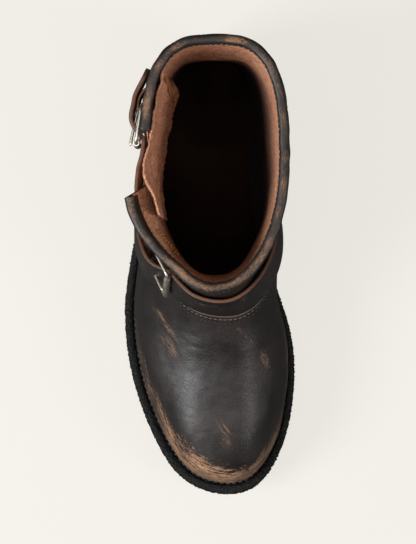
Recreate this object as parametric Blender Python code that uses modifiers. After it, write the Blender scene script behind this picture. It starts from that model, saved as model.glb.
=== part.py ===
"""Engineer boot for the right foot. The toe points to -Y, the heel to +Y, the buckle side is -X and z = 0 is the
floor. The upper and everything laid on it come from one skin function of a column round the boot and a height."""

import math

import bmesh
import bpy
import numpy as np
from mathutils import Matrix, Vector

# Driving sizes, in metres
LENGTH = 0.300
BALL_WIDTH = 0.1134
HEEL_WIDTH = 0.076
COLLAR_HEIGHT = 0.235
COLLAR_WIDTH = 0.0826
COLLAR_FRONT = 0.0115
COLLAR_BACK = 0.1340
COLLAR_SIDE_SHIFT = 0.0026
INSTEP_HEIGHT = 0.094
THROAT = 0.0295
HEEL_RISE = 0.036
TREAD_HEIGHT = 0.008
TOE_SPRING = 0.0115

# Thicknesses and clearances
GAP = 0.0003
SEAT = 0.0006
COVER_SEAT = 0.0009
WAIST_THICKNESS = 0.0055
MIDSOLE = 0.0045
WELT = 0.0035
WELT_MARGIN = 0.010
INSOLE = 0.0035
INSOLE_GAP = 0.0012
WALL = 0.0022
VAMP_STEP = 0.0012
COUNTER = 0.0018
BINDING = 0.0012
BINDING_INSIDE = 0.020
BINDING_OUTSIDE = 0.007
STRAP = 0.0024
CHAPE = 0.0015
GUSSET = 0.0015

# Soles: where the tread is flat, the heel and the lugs
FLAT_FRONT = -0.080
FLAT_BACK = -0.022
SEAT_START = 0.105
BREAST = 0.066
TOP_LIFT = 0.007
HEEL_TAPER = 0.0015
LUG_DEPTH = 0.0035
LUG_PITCH = 0.0145
LUG_GROOVE = 0.0050
LUG_ROWS = 8
HEEL_GROOVES = 3
HEEL_PITCH = 0.020

# Slit at the collar, its flap and its gusset
SLIT_FOOT = 0.160
SLIT_COLUMN = 0.75
SLIT_SPAN = 0.080
FLARE = 0.0105
FLARE_START = 0.203
FLARE_REACH = 0.13
GUSSET_FOOT = 0.150
GUSSET_INSET = 0.0047

# Straps: width, and height or slope on the boot
TOP_STRAP_WIDTH = 0.020
TOP_STRAP_HEIGHT = 0.203
INSTEP_STRAP_WIDTH = 0.026
INSTEP_STRAP_HEIGHT = 0.111
INSTEP_SLOPE = math.radians(24)
BAR = 0.0011
ROLLER = 0.0022
ROLLER_BORE = 0.0014
PRONG = 0.0010
PRONG_TURNS = (-60, -100, -140, 180, 140, 100)
FRAME_CLEARANCE = 0.0015
TOP_BUCKLE_LENGTH = 0.021
TOP_ROLLER = -0.0125
INSTEP_ROLLER = 0.034
INSTEP_BUCKLE_LENGTH = 0.027

COLUMNS = 52
BINDING_END = 0.002

# Outline of the sole. Each row: place, share of half the ball width, share of half the heel width,
# share of the length from the middle (toe is -0.5), share of the welt's margin
OUTLINE = (
    ("toe tip", 0.17, 0.00, -0.500, 1.00),
    ("toe medial", 0.56, 0.00, -0.479, 0.95),
    ("toe corner medial", 0.81, 0.00, -0.415, 0.85),
    ("forefoot medial", 0.955, 0.00, -0.325, 0.75),
    ("ball medial", 1.00, 0.00, -0.215, 0.68),
    ("behind ball medial", 0.925, 0.00, -0.118, 0.55),
    ("waist front medial", 0.76, 0.00, -0.022, 0.38),
    ("waist medial", 0.46, 0.29, 0.095, 0.38),
    ("breast medial", 0.20, 0.68, 0.225, 0.45),
    ("heel medial", 0.00, 1.00, 0.350, 0.50),
    ("heel corner medial", 0.00, 0.72, 0.458, 0.52),
    ("heel back", 0.00, 0.00, 0.500, 0.52),
    ("heel corner lateral", 0.00, -0.72, 0.458, 0.52),
    ("heel lateral", 0.00, -1.00, 0.350, 0.50),
    ("breast lateral", -0.30, -0.62, 0.225, 0.52),
    ("waist lateral", -0.64, -0.32, 0.095, 0.70),
    ("ball back lateral", -0.985, 0.00, -0.040, 0.85),
    ("ball lateral", -1.00, 0.00, -0.135, 0.90),
    ("forefoot lateral", -0.915, 0.00, -0.240, 0.90),
    ("toe corner lateral", -0.70, 0.00, -0.357, 0.92),
    ("toe lateral", -0.34, 0.00, -0.462, 0.96),
)

# Rings of the upper, from the sole to the collar. Each row: place; reach of the front, 1 at the toe, 0 at the
# throat, -1 at the collar's front; the back's share of the way to the collar's back; half width as shares of the
# foot's and of the collar's; climb of the front, 1 at the throat, 2 at the collar; climb of the back, 1 at the
# collar; share of the sole's own curve; share of the leg's round form
RINGS = (
    ("feather", 1.000, 0.00, 1.000, 0.00, 0.000, 0.000, 1.00, 0.00),
    ("welt top", 1.000, 0.00, 1.000, 0.00, 0.060, 0.024, 1.00, 0.00),
    ("side", 1.004, -0.24, 1.022, 0.00, 0.205, 0.050, 0.97, 0.00),
    ("toe wall", 0.975, -0.36, 0.995, 0.00, 0.385, 0.074, 0.90, 0.00),
    ("toe brow", 0.899, -0.36, 0.940, 0.00, 0.530, 0.096, 0.80, 0.00),
    ("toe top", 0.752, -0.32, 0.890, 0.00, 0.620, 0.116, 0.72, 0.00),
    ("vamp", 0.545, -0.27, 0.857, 0.00, 0.680, 0.136, 0.66, 0.00),
    ("waist", 0.330, -0.23, 0.850, 0.00, 0.745, 0.154, 0.60, 0.00),
    ("instep", 0.140, -0.14, 0.858, 0.00, 0.855, 0.172, 0.55, 0.04),
    ("throat", 0.000, -0.05, 0.868, 0.00, 1.000, 0.190, 0.48, 0.10),
    ("strap foot", -0.280, 0.10, 0.680, 0.185, 1.075, 0.280, 0.30, 0.25),
    ("bend", -0.570, 0.30, 0.420, 0.435, 1.160, 0.370, 0.15, 0.45),
    ("ankle", -0.730, 0.56, 0.230, 0.640, 1.275, 0.460, 0.05, 0.65),
    ("slit foot", -0.800, 0.76, 0.080, 0.830, 1.468, 0.610, 0.00, 0.87),
    ("leg", -0.850, 0.88, 0.010, 0.950, 1.650, 0.745, 0.00, 0.97),
    ("upper leg", -0.930, 0.95, 0.000, 0.980, 1.837, 0.880, 0.00, 1.00),
    ("collar", -1.000, 1.00, 0.000, 1.000, 2.000, 1.000, 0.00, 1.00),
)
THROAT_RING = 9
SLIT_RING = 13
LAST_RING = len(RINGS) - 1
LEG_FULLEST = 0.062
BACK_ROUNDNESS = 3.0
COLLAR_DIP = 0.004


def smooth(values, closed=False):
    """Cubic spline through values at 0, 1, 2 and on, with an even second derivative; rows may hold columns."""
    values = np.asarray(values, float)
    count = len(values)
    system = np.eye(count)
    right = np.zeros_like(values)
    for i in range(count):
        if closed or 0 < i < count - 1:
            before, after = (i - 1) % count, (i + 1) % count
            system[i, i] = 4.0
            system[i, before] = system[i, after] = 1.0
            right[i] = 6.0 * (values[before] - 2.0 * values[i] + values[after])
    bend = np.linalg.solve(system, right)

    def at(x):
        x = np.asarray(x, float)
        if closed:
            x = np.mod(x, count)
        i = np.clip(np.floor(x).astype(int), 0, count - 1 if closed else count - 2)
        j = (i + 1) % count
        u = x - i
        if values.ndim > 1:
            u = u[..., None]
        w = 1.0 - u
        return w * values[i] + u * values[j] + ((w**3 - w) * bend[i] + (u**3 - u) * bend[j]) / 6.0

    return at


def step(x):
    """Runs smoothly from 0 at x = 0 to 1 at x = 1."""
    x = np.clip(x, 0.0, 1.0)
    return x * x * (3.0 - 2.0 * x)


def outline_curve():
    """The sole's outline against the share of its own length, from the toe tip over the medial side."""
    rows = [
        (ball * BALL_WIDTH / 2 + heel * HEEL_WIDTH / 2, along * LENGTH, margin * WELT_MARGIN)
        for _, ball, heel, along, margin in OUTLINE
    ]
    raw = smooth(rows, closed=True)
    index = np.linspace(0, len(rows), 1401)
    points = raw(index)
    travelled = np.concatenate([[0.0], np.cumsum(np.hypot(*np.diff(points[:, :2], axis=0).T))])
    travelled /= travelled[-1]
    return lambda t: raw(np.interp(np.mod(t, 1.0), travelled, index))


OUTLINE_AT = outline_curve()


def sole_edge(t, inset=0.0):
    """Points of the outline, moved inwards by inset."""
    here = OUTLINE_AT(t)[..., :2]
    ahead = OUTLINE_AT(t + 1e-3)[..., :2] - OUTLINE_AT(t - 1e-3)[..., :2]
    inward = np.stack([-ahead[..., 1], ahead[..., 0]], axis=-1)
    inward /= np.linalg.norm(inward, axis=-1, keepdims=True)
    return here + inward * np.asarray(inset)[..., None]


def feather(t):
    """The line where the upper meets the welt."""
    return sole_edge(t, OUTLINE_AT(t)[..., 2])


def tread_top(y):
    """Height of the outsole's top: flat at the ball, sprung at the toe, and climbing to the heel seat."""
    spring = TOE_SPRING * (np.clip(FLAT_FRONT - y, 0.0, None) / (FLAT_FRONT + LENGTH / 2)) ** 2
    return TREAD_HEIGHT + spring + (HEEL_RISE - TREAD_HEIGHT) * step((y - FLAT_BACK) / (SEAT_START - FLAT_BACK))


def tread_bottom(y):
    thin = (TREAD_HEIGHT - WAIST_THICKNESS) * step((y - FLAT_BACK) / (BREAST - FLAT_BACK) * 2)
    return tread_top(y) - TREAD_HEIGHT + thin


def bed(y):
    """Top of the midsole with its clearance: the insole and the upper stand here."""
    return tread_top(y) + GAP + MIDSOLE + 1.6 * GAP


FEATHER_ALL = feather(np.linspace(0, 1, 400))
TOE_Y, HEEL_Y = FEATHER_ALL[:, 1].min(), FEATHER_ALL[:, 1].max()
FOOT_CENTRE = (FEATHER_ALL[:, 0].max() + FEATHER_ALL[:, 0].min()) / 2
FOOT_HALF = (FEATHER_ALL[:, 0].max() - FEATHER_ALL[:, 0].min()) / 2
TOE_BED, HEEL_BED = bed(TOE_Y), bed(HEEL_Y)


def ring_sizes():
    """Each ring of the table in metres: front y, back y, half width, centre x, front z, back z and its shares."""
    sized = []
    for _, reach, back, foot, leg, climb, rise, sole, round_share in RINGS:
        front = -THROAT + max(reach, 0.0) * (TOE_Y + THROAT) + max(-reach, 0.0) * (THROAT - COLLAR_FRONT)
        front_z = TOE_BED + min(climb, 1.0) * (INSTEP_HEIGHT - TOE_BED)
        front_z += max(climb - 1.0, 0.0) * (COLLAR_HEIGHT - INSTEP_HEIGHT)
        sized.append(
            (
                front,
                HEEL_Y + back * (COLLAR_BACK - HEEL_Y),
                foot * FOOT_HALF + leg * COLLAR_WIDTH / 2,
                COLLAR_SIDE_SHIFT * round_share + FOOT_CENTRE * (1 - round_share),
                front_z,
                HEEL_BED + rise * (COLLAR_HEIGHT - COLLAR_DIP - HEEL_BED),
                sole,
                round_share,
            )
        )
    return sized


RING_AT = smooth(ring_sizes())


def base_point(t, level):
    """The bare skin: t runs round the boot from the toe over the medial side, level counts the rings."""
    t, level = np.broadcast_arrays(np.asarray(t, float), np.asarray(level, float))
    front, back, half, centre, front_z, back_z, sole, leg = np.moveaxis(RING_AT(level), -1, 0)
    foot = feather(t)
    foot_share = (foot[..., 1] - TOE_Y) / (HEEL_Y - TOE_Y)
    foot_x = centre + (foot[..., 0] - FOOT_CENTRE) / FOOT_HALF * half
    foot_y = front + foot_share * (back - front)
    turn = np.cos(2 * np.pi * t)
    fullest = (LEG_FULLEST + COLLAR_FRONT) / (COLLAR_BACK + COLLAR_FRONT)
    leg_share = np.where(turn > 0, fullest * (1 - turn), fullest - (1 - fullest) * turn)
    power = np.where(turn > 0, 2.0, BACK_ROUNDNESS)
    bulge = np.clip(1 - np.abs(turn) ** power, 0.0, None) ** (1 / power)
    leg_x = centre + half * bulge * np.sign(np.sin(2 * np.pi * t))
    leg_y = front + leg_share * (back - front)
    x = foot_x + leg * (leg_x - foot_x)
    y = foot_y + leg * (leg_y - foot_y)
    along = foot_share + leg * (leg_share - foot_share)
    straight = TOE_BED + (HEEL_BED - TOE_BED) * foot_share
    z = front_z + (back_z - front_z) * along + sole * (bed(foot[..., 1]) - straight)
    return np.stack([x, y, z], axis=-1)


def flare(t, level):
    """How far the front flap of the slit turns out at its free corner."""
    edge = SLIT_COLUMN + SLIT_SPAN / 2
    from_edge = np.mod(t - edge + 0.5, 1.0) - 0.5
    near = (1 - step(from_edge / FLARE_REACH)) * (from_edge > -SLIT_SPAN / 2)
    height = RING_AT(level)[..., 4]
    return FLARE * np.clip((height - FLARE_START) / (COLLAR_HEIGHT - FLARE_START), 0.0, None) ** 1.5 * near


def skin(t, level, out=0.0, flared=False):
    """The skin moved out along its normal; the flap's flare is added where it is asked for."""
    t, level, out = np.broadcast_arrays(np.asarray(t, float), np.asarray(level, float), np.asarray(out, float))
    round_step, climb_step = 2e-3, 0.03
    around = base_point(t + round_step, level) - base_point(t - round_step, level)
    upward = base_point(t, np.minimum(level + climb_step, LAST_RING)) - base_point(
        t, np.maximum(level - climb_step, 0)
    )
    normal = np.cross(around, upward)
    normal /= np.linalg.norm(normal, axis=-1, keepdims=True)
    if flared:
        out = out + flare(t, level)
    return base_point(t, level) + normal * out[..., None]


def column_turn(column, level):
    """t of a column, 0 to 1 from the flap's slit edge round the toe to the rear edge, which part above the slit."""
    column, level = np.broadcast_arrays(np.asarray(column, float), np.asarray(level, float))
    span = SLIT_SPAN * np.clip((level - SLIT_RING) / (LAST_RING - SLIT_RING), 0.0, 1.0) / 2
    return SLIT_COLUMN + column + span * (np.clip(1 - 4 * column, 0, 1) - np.clip(4 * column - 3, 0, 1))


def vamp_step(t, level):
    """Extra thickness of the vamp's own layer, which ends in its raw top edge and fades out under the counter."""
    from_back = np.abs(np.mod(t, 1.0) - 0.5)
    return VAMP_STEP * step((from_back - 0.19) / 0.05) * (level < THROAT_RING + 1e-6) * step(level / 2)


LEVELS = np.linspace(0, LAST_RING, 1601)
FRONT_HEIGHTS = RING_AT(LEVELS)[:, 4]


def level_of(height):
    """The level whose ring stands at this height at the boot's front."""
    return np.interp(height, FRONT_HEIGHTS, LEVELS)


def make_material(name, colour, roughness, metallic=0.0):
    material = bpy.data.materials.new(name)
    material.use_nodes = True
    shader = material.node_tree.nodes["Principled BSDF"]
    shader.inputs["Base Color"].default_value = (*colour, 1.0)
    shader.inputs["Roughness"].default_value = roughness
    shader.inputs["Metallic"].default_value = metallic
    return material


def clear_scene():
    for obj in list(bpy.data.objects):
        bpy.data.objects.remove(obj, do_unlink=True)


def add_object(name, mesh, material, collection):
    obj = bpy.data.objects.new(name, mesh)
    mesh.materials.clear()
    mesh.materials.append(material)
    collection.objects.link(obj)
    return obj


def grid_faces(rows, columns, closed_columns=False):
    """Quads of a grid of points numbered row by row, facing out where columns run anticlockwise and rows upward."""
    row, column = np.meshgrid(np.arange(rows - 1), np.arange(columns if closed_columns else columns - 1), indexing="ij")
    beside = (column + 1) % columns
    quads = np.stack(
        [row * columns + column, row * columns + beside, (row + 1) * columns + beside, (row + 1) * columns + column],
        axis=-1,
    )
    return quads.reshape(-1, 4)


def mesh_of(name, points, faces):
    mesh = bpy.data.meshes.new(name)
    mesh.from_pydata(np.asarray(points).reshape(-1, 3).tolist(), [], [list(map(int, face)) for face in faces])
    return mesh


def tidy(mesh, merge=1e-6):
    """Merges doubled points and turns every face outward."""
    work = bmesh.new()
    work.from_mesh(mesh)
    bmesh.ops.remove_doubles(work, verts=work.verts, dist=merge)
    bmesh.ops.recalc_face_normals(work, faces=work.faces)
    work.to_mesh(mesh)
    work.free()


def add_thickness(obj, thickness, offset):
    shell = obj.modifiers.new("thickness", "SOLIDIFY")
    shell.thickness = thickness
    shell.offset = offset
    shell.use_even_offset = True
    return obj


def sheet(name, points, thickness, offset, material, collection):
    """An open grid of points given a wall."""
    rows, columns = points.shape[:2]
    mesh = mesh_of(name, points, grid_faces(rows, columns))
    return add_thickness(add_object(name, mesh, material, collection), thickness, offset)


def closed_tube(name, loops, material, collection):
    """A solid through closed loops of points, one after another, with both ends filled."""
    count, around = loops.shape[:2]
    faces = grid_faces(count, around, closed_columns=True).tolist()
    faces.append(list(range(around))[::-1])
    faces.append([(count - 1) * around + i for i in range(around)])
    mesh = mesh_of(name, loops, faces)
    tidy(mesh, 1e-7)
    return add_object(name, mesh, material, collection)


def outline_sides(inset):
    """Lateral and medial x of the outline against y, and its ends in y."""
    points = sole_edge(np.linspace(0, 1, 1201), inset)
    toe, heel = points[:, 1].argmin(), points[:, 1].argmax()
    rolled = np.roll(points[:-1], -toe, axis=0)
    heel = (heel - toe) % len(rolled)
    medial, lateral = rolled[: heel + 1], np.concatenate([rolled[heel:], rolled[:1]])[::-1]
    return medial, lateral


def slab(name, inset, bottom, top, material, collection, start=None, stop=None, stations=30):
    """A layer of the sole between two height functions of y, with the outline moved in by inset."""
    medial, lateral = outline_sides(inset)
    low, high = medial[0, 1], medial[-1, 1]
    turn = np.linspace(0, np.pi, stations + 1)
    along = low + (high - low) * (1 - np.cos(turn)) / 2
    if start is not None:
        along = np.concatenate([[start], along[along > start + 0.003]])
    if stop is not None:
        along = np.concatenate([along[along < stop - 0.003], [stop]])
    inner = along[1:] if start is None else along
    inner = inner[:-1] if stop is None else inner
    left = np.interp(inner, lateral[:, 1], lateral[:, 0])
    right = np.interp(inner, medial[:, 1], medial[:, 0])
    loops = np.stack(
        [
            np.stack([left, inner, bottom(inner)], -1),
            np.stack([right, inner, bottom(inner)], -1),
            np.stack([right, inner, top(inner)], -1),
            np.stack([left, inner, top(inner)], -1),
        ],
        axis=1,
    )
    points = loops.reshape(-1, 3).tolist()
    count = len(inner)
    faces = [
        [4 * i + k, 4 * i + (k + 1) % 4, 4 * i + 4 + (k + 1) % 4, 4 * i + 4 + k]
        for i in range(count - 1)
        for k in range(4)
    ]
    for at_start, given, tip in ((True, start, medial[0]), (False, stop, medial[-1])):
        first = 0 if at_start else 4 * (count - 1)
        if given is not None:
            faces.append([first, first + 1, first + 2, first + 3])
            continue
        tip_y = np.array([tip[1]])
        points += [[tip[0], tip[1], bottom(tip_y)[0]], [tip[0], tip[1], top(tip_y)[0]]]
        low_tip, high_tip = len(points) - 2, len(points) - 1
        faces += [
            [first, first + 1, low_tip],
            [first + 1, first + 2, high_tip, low_tip],
            [first + 2, first + 3, high_tip],
            [first + 3, first, low_tip, high_tip],
        ]
    mesh = mesh_of(name, points, faces)
    tidy(mesh)
    return add_object(name, mesh, material, collection)


def cut_with(obj, cutter):
    cut = obj.modifiers.new(cutter.name, "BOOLEAN")
    cut.operation = "DIFFERENCE"
    cut.solver = "EXACT"
    cut.object = cutter


def cutting_box(name, size, place, cutters):
    """A box that cuts one groove or slot."""
    mesh = bpy.data.meshes.new(name)
    work = bmesh.new()
    bmesh.ops.create_cube(work, size=1.0, matrix=Matrix.Diagonal((*size, 1.0)))
    work.to_mesh(mesh)
    work.free()
    obj = bpy.data.objects.new(name, mesh)
    obj.matrix_world = place
    obj.hide_render = True
    obj.display_type = "WIRE"
    cutters.objects.link(obj)
    return obj


def groove(name, centre, size, tilt, cutters):
    """A groove across or along the tread, tilted about X to follow it."""
    return cutting_box(name, size, Matrix.Translation(centre) @ Matrix.Rotation(tilt, 4, "X"), cutters)


def make_soles(collection, cutters, rubber, edge_leather, board):
    outsole = slab("outsole", 0.0, tread_bottom, tread_top, rubber, collection)
    first = FLAT_BACK - 0.006
    for i in range(LUG_ROWS):
        y = first - i * LUG_PITCH
        height = float(tread_bottom(y))
        slope = math.atan2(float(tread_bottom(y + 0.001) - tread_bottom(y - 0.001)), 0.002)
        size = (BALL_WIDTH * 1.2, LUG_GROOVE, 2 * LUG_DEPTH)
        cut_with(outsole, groove(f"cross_groove_{i + 1}", (0, y, height), size, slope, cutters))
    long_size = (LUG_GROOVE, -FLAT_FRONT + FLAT_BACK + 0.004, 2 * LUG_DEPTH)
    middle = (0.002, (FLAT_FRONT + FLAT_BACK) / 2, 0.0)
    cut_with(outsole, groove("long_groove", middle, long_size, 0.0, cutters))
    slab("midsole", 0.0, lambda y: tread_top(y) + GAP, lambda y: tread_top(y) + GAP + MIDSOLE, edge_leather, collection)
    slab(
        "heel_stack",
        HEEL_TAPER / 2,
        lambda y: 0 * y + TOP_LIFT + GAP,
        lambda y: tread_bottom(y) - GAP,
        rubber,
        collection,
        start=BREAST,
    )
    lift = slab(
        "heel_top_lift", HEEL_TAPER, lambda y: 0 * y, lambda y: 0 * y + TOP_LIFT, rubber, collection, start=BREAST
    )
    for i in range(HEEL_GROOVES):
        y = BREAST + HEEL_PITCH * (i + 0.9)
        size = (HEEL_WIDTH * 1.4, LUG_GROOVE * 0.8, 2 * LUG_DEPTH)
        cut_with(lift, groove(f"heel_groove_{i + 1}", (0, y, 0), size, 0.0, cutters))
    turns = np.arange(COLUMNS) / COLUMNS
    outer, inner = sole_edge(turns, 0.0), sole_edge(turns, OUTLINE_AT(turns)[:, 2] - SEAT)
    low, high = (lambda y: bed(y)), (lambda y: bed(y) + WELT)
    loops = np.stack(
        [np.column_stack([xy, height(xy[:, 1])]) for xy, height in ((outer, low), (outer, high), (inner, high), (inner, low))],
        axis=1,
    )
    ring = np.concatenate([grid_faces(COLUMNS, 4, closed_columns=True), closing_faces(COLUMNS, 4)])
    mesh = mesh_of("welt", loops, ring)
    tidy(mesh)
    add_object("welt", mesh, edge_leather, collection)
    insole_sheet(sole_edge(turns, OUTLINE_AT(turns)[:, 2] + WALL + INSOLE_GAP), board, collection)


def insole_sheet(edge, board, collection):
    """A board through pairs of edge points across the foot."""
    low = np.column_stack([edge, bed(edge[:, 1]) + GAP])
    high = low + (0, 0, INSOLE)
    count = len(edge)
    half = count // 2
    faces = []
    for base, flip in ((0, True), (count, False)):
        for i in range(half):
            quad = [base + i, base + i + 1, base + (count - i - 1), base + (count - i) % count]
            quad = list(dict.fromkeys(quad))
            faces.append(quad[::-1] if flip else quad)
    faces += [[i, (i + 1) % count, count + (i + 1) % count, count + i] for i in range(count)]
    mesh = mesh_of("insole", np.concatenate([low, high]), faces)
    tidy(mesh)
    add_object("insole", mesh, board, collection)


def closing_faces(count, around):
    """Quads that join the last loop of a ring to its first."""
    last = (count - 1) * around
    return np.array([[last + k, last + (k + 1) % around, (k + 1) % around, k] for k in range(around)])


def binding_levels():
    """Levels at the binding's inner edge, half way up its inner leg, at its outer edge and at the collar."""
    drops = (BINDING_INSIDE, (BINDING_INSIDE + BINDING_OUTSIDE) / 2, BINDING_OUTSIDE, 0.0)
    return [float(level_of(COLLAR_HEIGHT - drop)) for drop in drops]


def upper_levels():
    """Levels of the upper's rows, with two close together at the vamp's raw edge."""
    levels = [float(i) for i in range(LAST_RING - 1)]
    levels += [3.5, 4.5, THROAT_RING + 0.03, float(level_of(FLARE_START))]
    return np.array(sorted(set(levels + binding_levels())))


def make_upper(leather, collection):
    """Vamp, quarters and shaft in one: an outer and an inner wall joined at the collar, the sole and the slit."""
    levels = upper_levels()
    columns = np.arange(COLUMNS + 1) / COLUMNS
    level, column = np.meshgrid(levels, columns, indexing="ij")
    t = column_turn(column, level)
    outer = skin(t, level, vamp_step(t, level), flared=True)
    inner = skin(t, level, -WALL, flared=True)
    rows, width = level.shape
    number = np.arange(rows * width).reshape(rows, width)
    joined = int(np.flatnonzero(levels <= SLIT_RING)[-1])
    number[: joined + 1, -1] = number[: joined + 1, 0]
    inside = number + rows * width

    def wall(ids, facing):
        quads = np.stack([ids[:-1, :-1], ids[:-1, 1:], ids[1:, 1:], ids[1:, :-1]], axis=-1).reshape(-1, 4)
        return quads if facing > 0 else quads[:, ::-1]

    def rim(a, b):
        return np.stack([a[:-1], a[1:], b[1:], b[:-1]], axis=-1)

    faces = np.concatenate(
        [
            wall(number, 1),
            wall(inside, -1),
            rim(number[-1], inside[-1]),
            rim(inside[0], number[0]),
            rim(number[joined:, -1], inside[joined:, -1]),
            rim(inside[joined:, 0], number[joined:, 0]),
        ]
    )
    mesh = mesh_of("upper", np.concatenate([outer.reshape(-1, 3), inner.reshape(-1, 3)]), faces)
    remove_loose(mesh)
    add_object("upper", mesh, leather, collection)


def remove_loose(mesh):
    work = bmesh.new()
    work.from_mesh(mesh)
    bmesh.ops.delete(work, geom=[v for v in work.verts if not v.link_faces], context="VERTS")
    bmesh.ops.recalc_face_normals(work, faces=work.faces)
    work.to_mesh(mesh)
    work.free()


def make_counter(leather, collection):
    """The cover over the heel, from the welt to a top line that is highest at the back."""
    first, last = round(COLUMNS * (0.315 + 0.25)), round(COLUMNS * (0.685 + 0.25))
    columns = np.arange(first, last + 1) / COLUMNS
    t = SLIT_COLUMN + columns
    away = np.abs(np.mod(t, 1.0) - 0.5) / 0.185
    top = THROAT_RING + 2.2 - 3.4 * away**2.5
    low = 1.25
    share = np.linspace(0, 1, 9)[:, None]
    level = low + (top - low)[None, :] * share
    points = skin(np.broadcast_to(t, level.shape), level, COVER_SEAT)
    sheet("heel_counter", points, COUNTER, 1.0, leather, collection)
    centre = round(COLUMNS * 0.75)
    t = SLIT_COLUMN + np.arange(centre - 1, centre + 2) / COLUMNS
    ends = level_of(COLLAR_HEIGHT - BINDING_OUTSIDE - 0.004)
    levels = np.concatenate([[top.max() + 0.12], np.arange(math.ceil(top.max() + 0.3), math.floor(ends) + 1), [ends]])
    level, turn = np.meshgrid(levels, t, indexing="ij")
    sheet("back_strip", skin(turn, level, SEAT), COUNTER, 1.0, leather, collection)


def make_binding(leather, collection):
    """The strip folded over the collar's edge: a U that straddles the wall."""
    top = BINDING + GAP
    inner = -(WALL + GAP)
    foot, half, hem, edge = binding_levels()
    section = (
        (SEAT, hem, 0.0),
        (SEAT + BINDING, hem, 0.0),
        (SEAT + BINDING, edge, 0.0),
        (SEAT, edge, top),
        (inner - GAP, edge, top),
        (inner - BINDING, edge, 0.0),
        (inner - BINDING, hem, 0.0),
        (inner - BINDING, half, 0.0),
        (inner - BINDING, foot, 0.0),
        (inner, foot, 0.0),
        (inner, half, 0.0),
        (inner, hem, 0.0),
        (inner, edge, GAP),
        (SEAT, edge, GAP),
    )
    columns = np.arange(COLUMNS + 1) / COLUMNS
    columns[0], columns[-1] = BINDING_END, 1 - BINDING_END
    loops = []
    for out, level, rise in section:
        points = skin(column_turn(columns, level), level, out, flared=True)
        points[:, 2] += rise
        loops.append(points)
    closed_tube("collar_band", np.stack(loops, axis=1)[:, ::-1], leather, collection)


def make_gusset(suede, collection):
    """The soft piece behind the slit: laid inside the rear panel, out to the gap, and in behind the flap."""
    t = np.linspace(0.655, 0.822, 14)
    heights = np.linspace(GUSSET_FOOT, COLLAR_HEIGHT - 0.002, 7)
    height, turn = np.meshgrid(heights, t, indexing="ij")
    centre = SLIT_COLUMN - 0.008
    gap_share = np.exp(-(((turn - centre) / 0.022) ** 2))
    high = step((height - SLIT_FOOT - 0.02) / (COLLAR_HEIGHT - SLIT_FOOT - 0.02))
    inset = GUSSET_INSET - 0.0030 * gap_share * high + 0.0012 * (1 - high)
    sheet("gusset", skin(turn, level_of(height), -inset), GUSSET, -1.0, suede, collection)


def top_place():
    """Maps (along, across, out) on the top strap's line to the boot; along grows forward from the rear."""
    turns = np.linspace(0.60, 0.98, 400)
    centre = skin(turns, level_of(TOP_STRAP_HEIGHT))
    length = np.concatenate([[0.0], np.cumsum(np.linalg.norm(np.diff(centre, axis=0), axis=1))])
    length -= np.interp(SLIT_COLUMN, turns, length)

    def place(along, across, out):
        t = np.interp(along, length, turns)
        level = level_of(TOP_STRAP_HEIGHT + np.asarray(across))
        lifted = flare(np.maximum(t, SLIT_COLUMN + 0.001), level) * step((t - SLIT_COLUMN) / 0.04 + 1)
        return skin(t, level, out + lifted)

    return place


def instep_level(t, across):
    """The level at which the slanted middle plane of the instep strap, moved by across, meets column t."""
    t, across = np.broadcast_arrays(np.asarray(t, float), np.asarray(across, float))
    low, high = np.full(t.shape, 2.0), np.full(t.shape, 14.0)
    middle = base_point(0.0, level_of(INSTEP_STRAP_HEIGHT))
    for _ in range(40):
        level = (low + high) / 2
        point = base_point(t, level)
        above = (point[..., 1] - middle[1]) * math.sin(INSTEP_SLOPE) + (point[..., 2] - middle[2]) * math.cos(
            INSTEP_SLOPE
        )
        below = above < across
        low, high = np.where(below, level, low), np.where(below, high, level)
    return (low + high) / 2


def instep_place():
    """Maps (along, across, out) on the instep strap's line to the boot; along grows over the lateral side."""
    turns = np.linspace(1.45, 0.55, 600)
    centre = skin(turns, instep_level(turns, 0.0))
    length = np.concatenate([[0.0], np.cumsum(np.linalg.norm(np.diff(centre, axis=0), axis=1))])
    length -= np.interp(-1.0, -turns, length)

    def place(along, across, out):
        t = np.interp(along, length, turns)
        return skin(t, instep_level(t, across), out)

    return place


def strap(name, path, width, thickness, place, material, collection, across=4):
    """A strap of even thickness along a path of (along, out) points at its middle."""
    path = np.array(path)
    runs = np.diff(path, axis=0)
    runs /= np.linalg.norm(runs, axis=1, keepdims=True)
    ahead = np.concatenate([runs[:1], runs[:-1] + runs[1:], runs[-1:]])
    ahead /= np.linalg.norm(ahead, axis=1, keepdims=True)
    side = np.stack([-ahead[:, 1], ahead[:, 0]], axis=1) * thickness / 2
    rows = np.linspace(-width / 2, width / 2, across + 1)
    loops = []
    for sign, order in ((1, rows), (-1, rows[::-1])):
        moved = path + sign * side
        loops += [place(moved[:, 0], np.full(len(path), w), moved[:, 1]) for w in order]
    closed_tube(name, np.stack(loops, axis=1), material, collection)


def eased(rows, spacing=0.005):
    """Points at even spacing on a smooth curve through rows of (along, out)."""
    rows = np.array(rows)
    curve = smooth(rows)
    index = np.linspace(0, len(rows) - 1, 400)
    points = curve(index)
    travelled = np.concatenate([[0.0], np.cumsum(np.linalg.norm(np.diff(points, axis=0), axis=1))])
    wanted = np.linspace(0, travelled[-1], max(3, round(travelled[-1] / spacing) + 1))
    return curve(np.interp(wanted, travelled, index))


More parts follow.
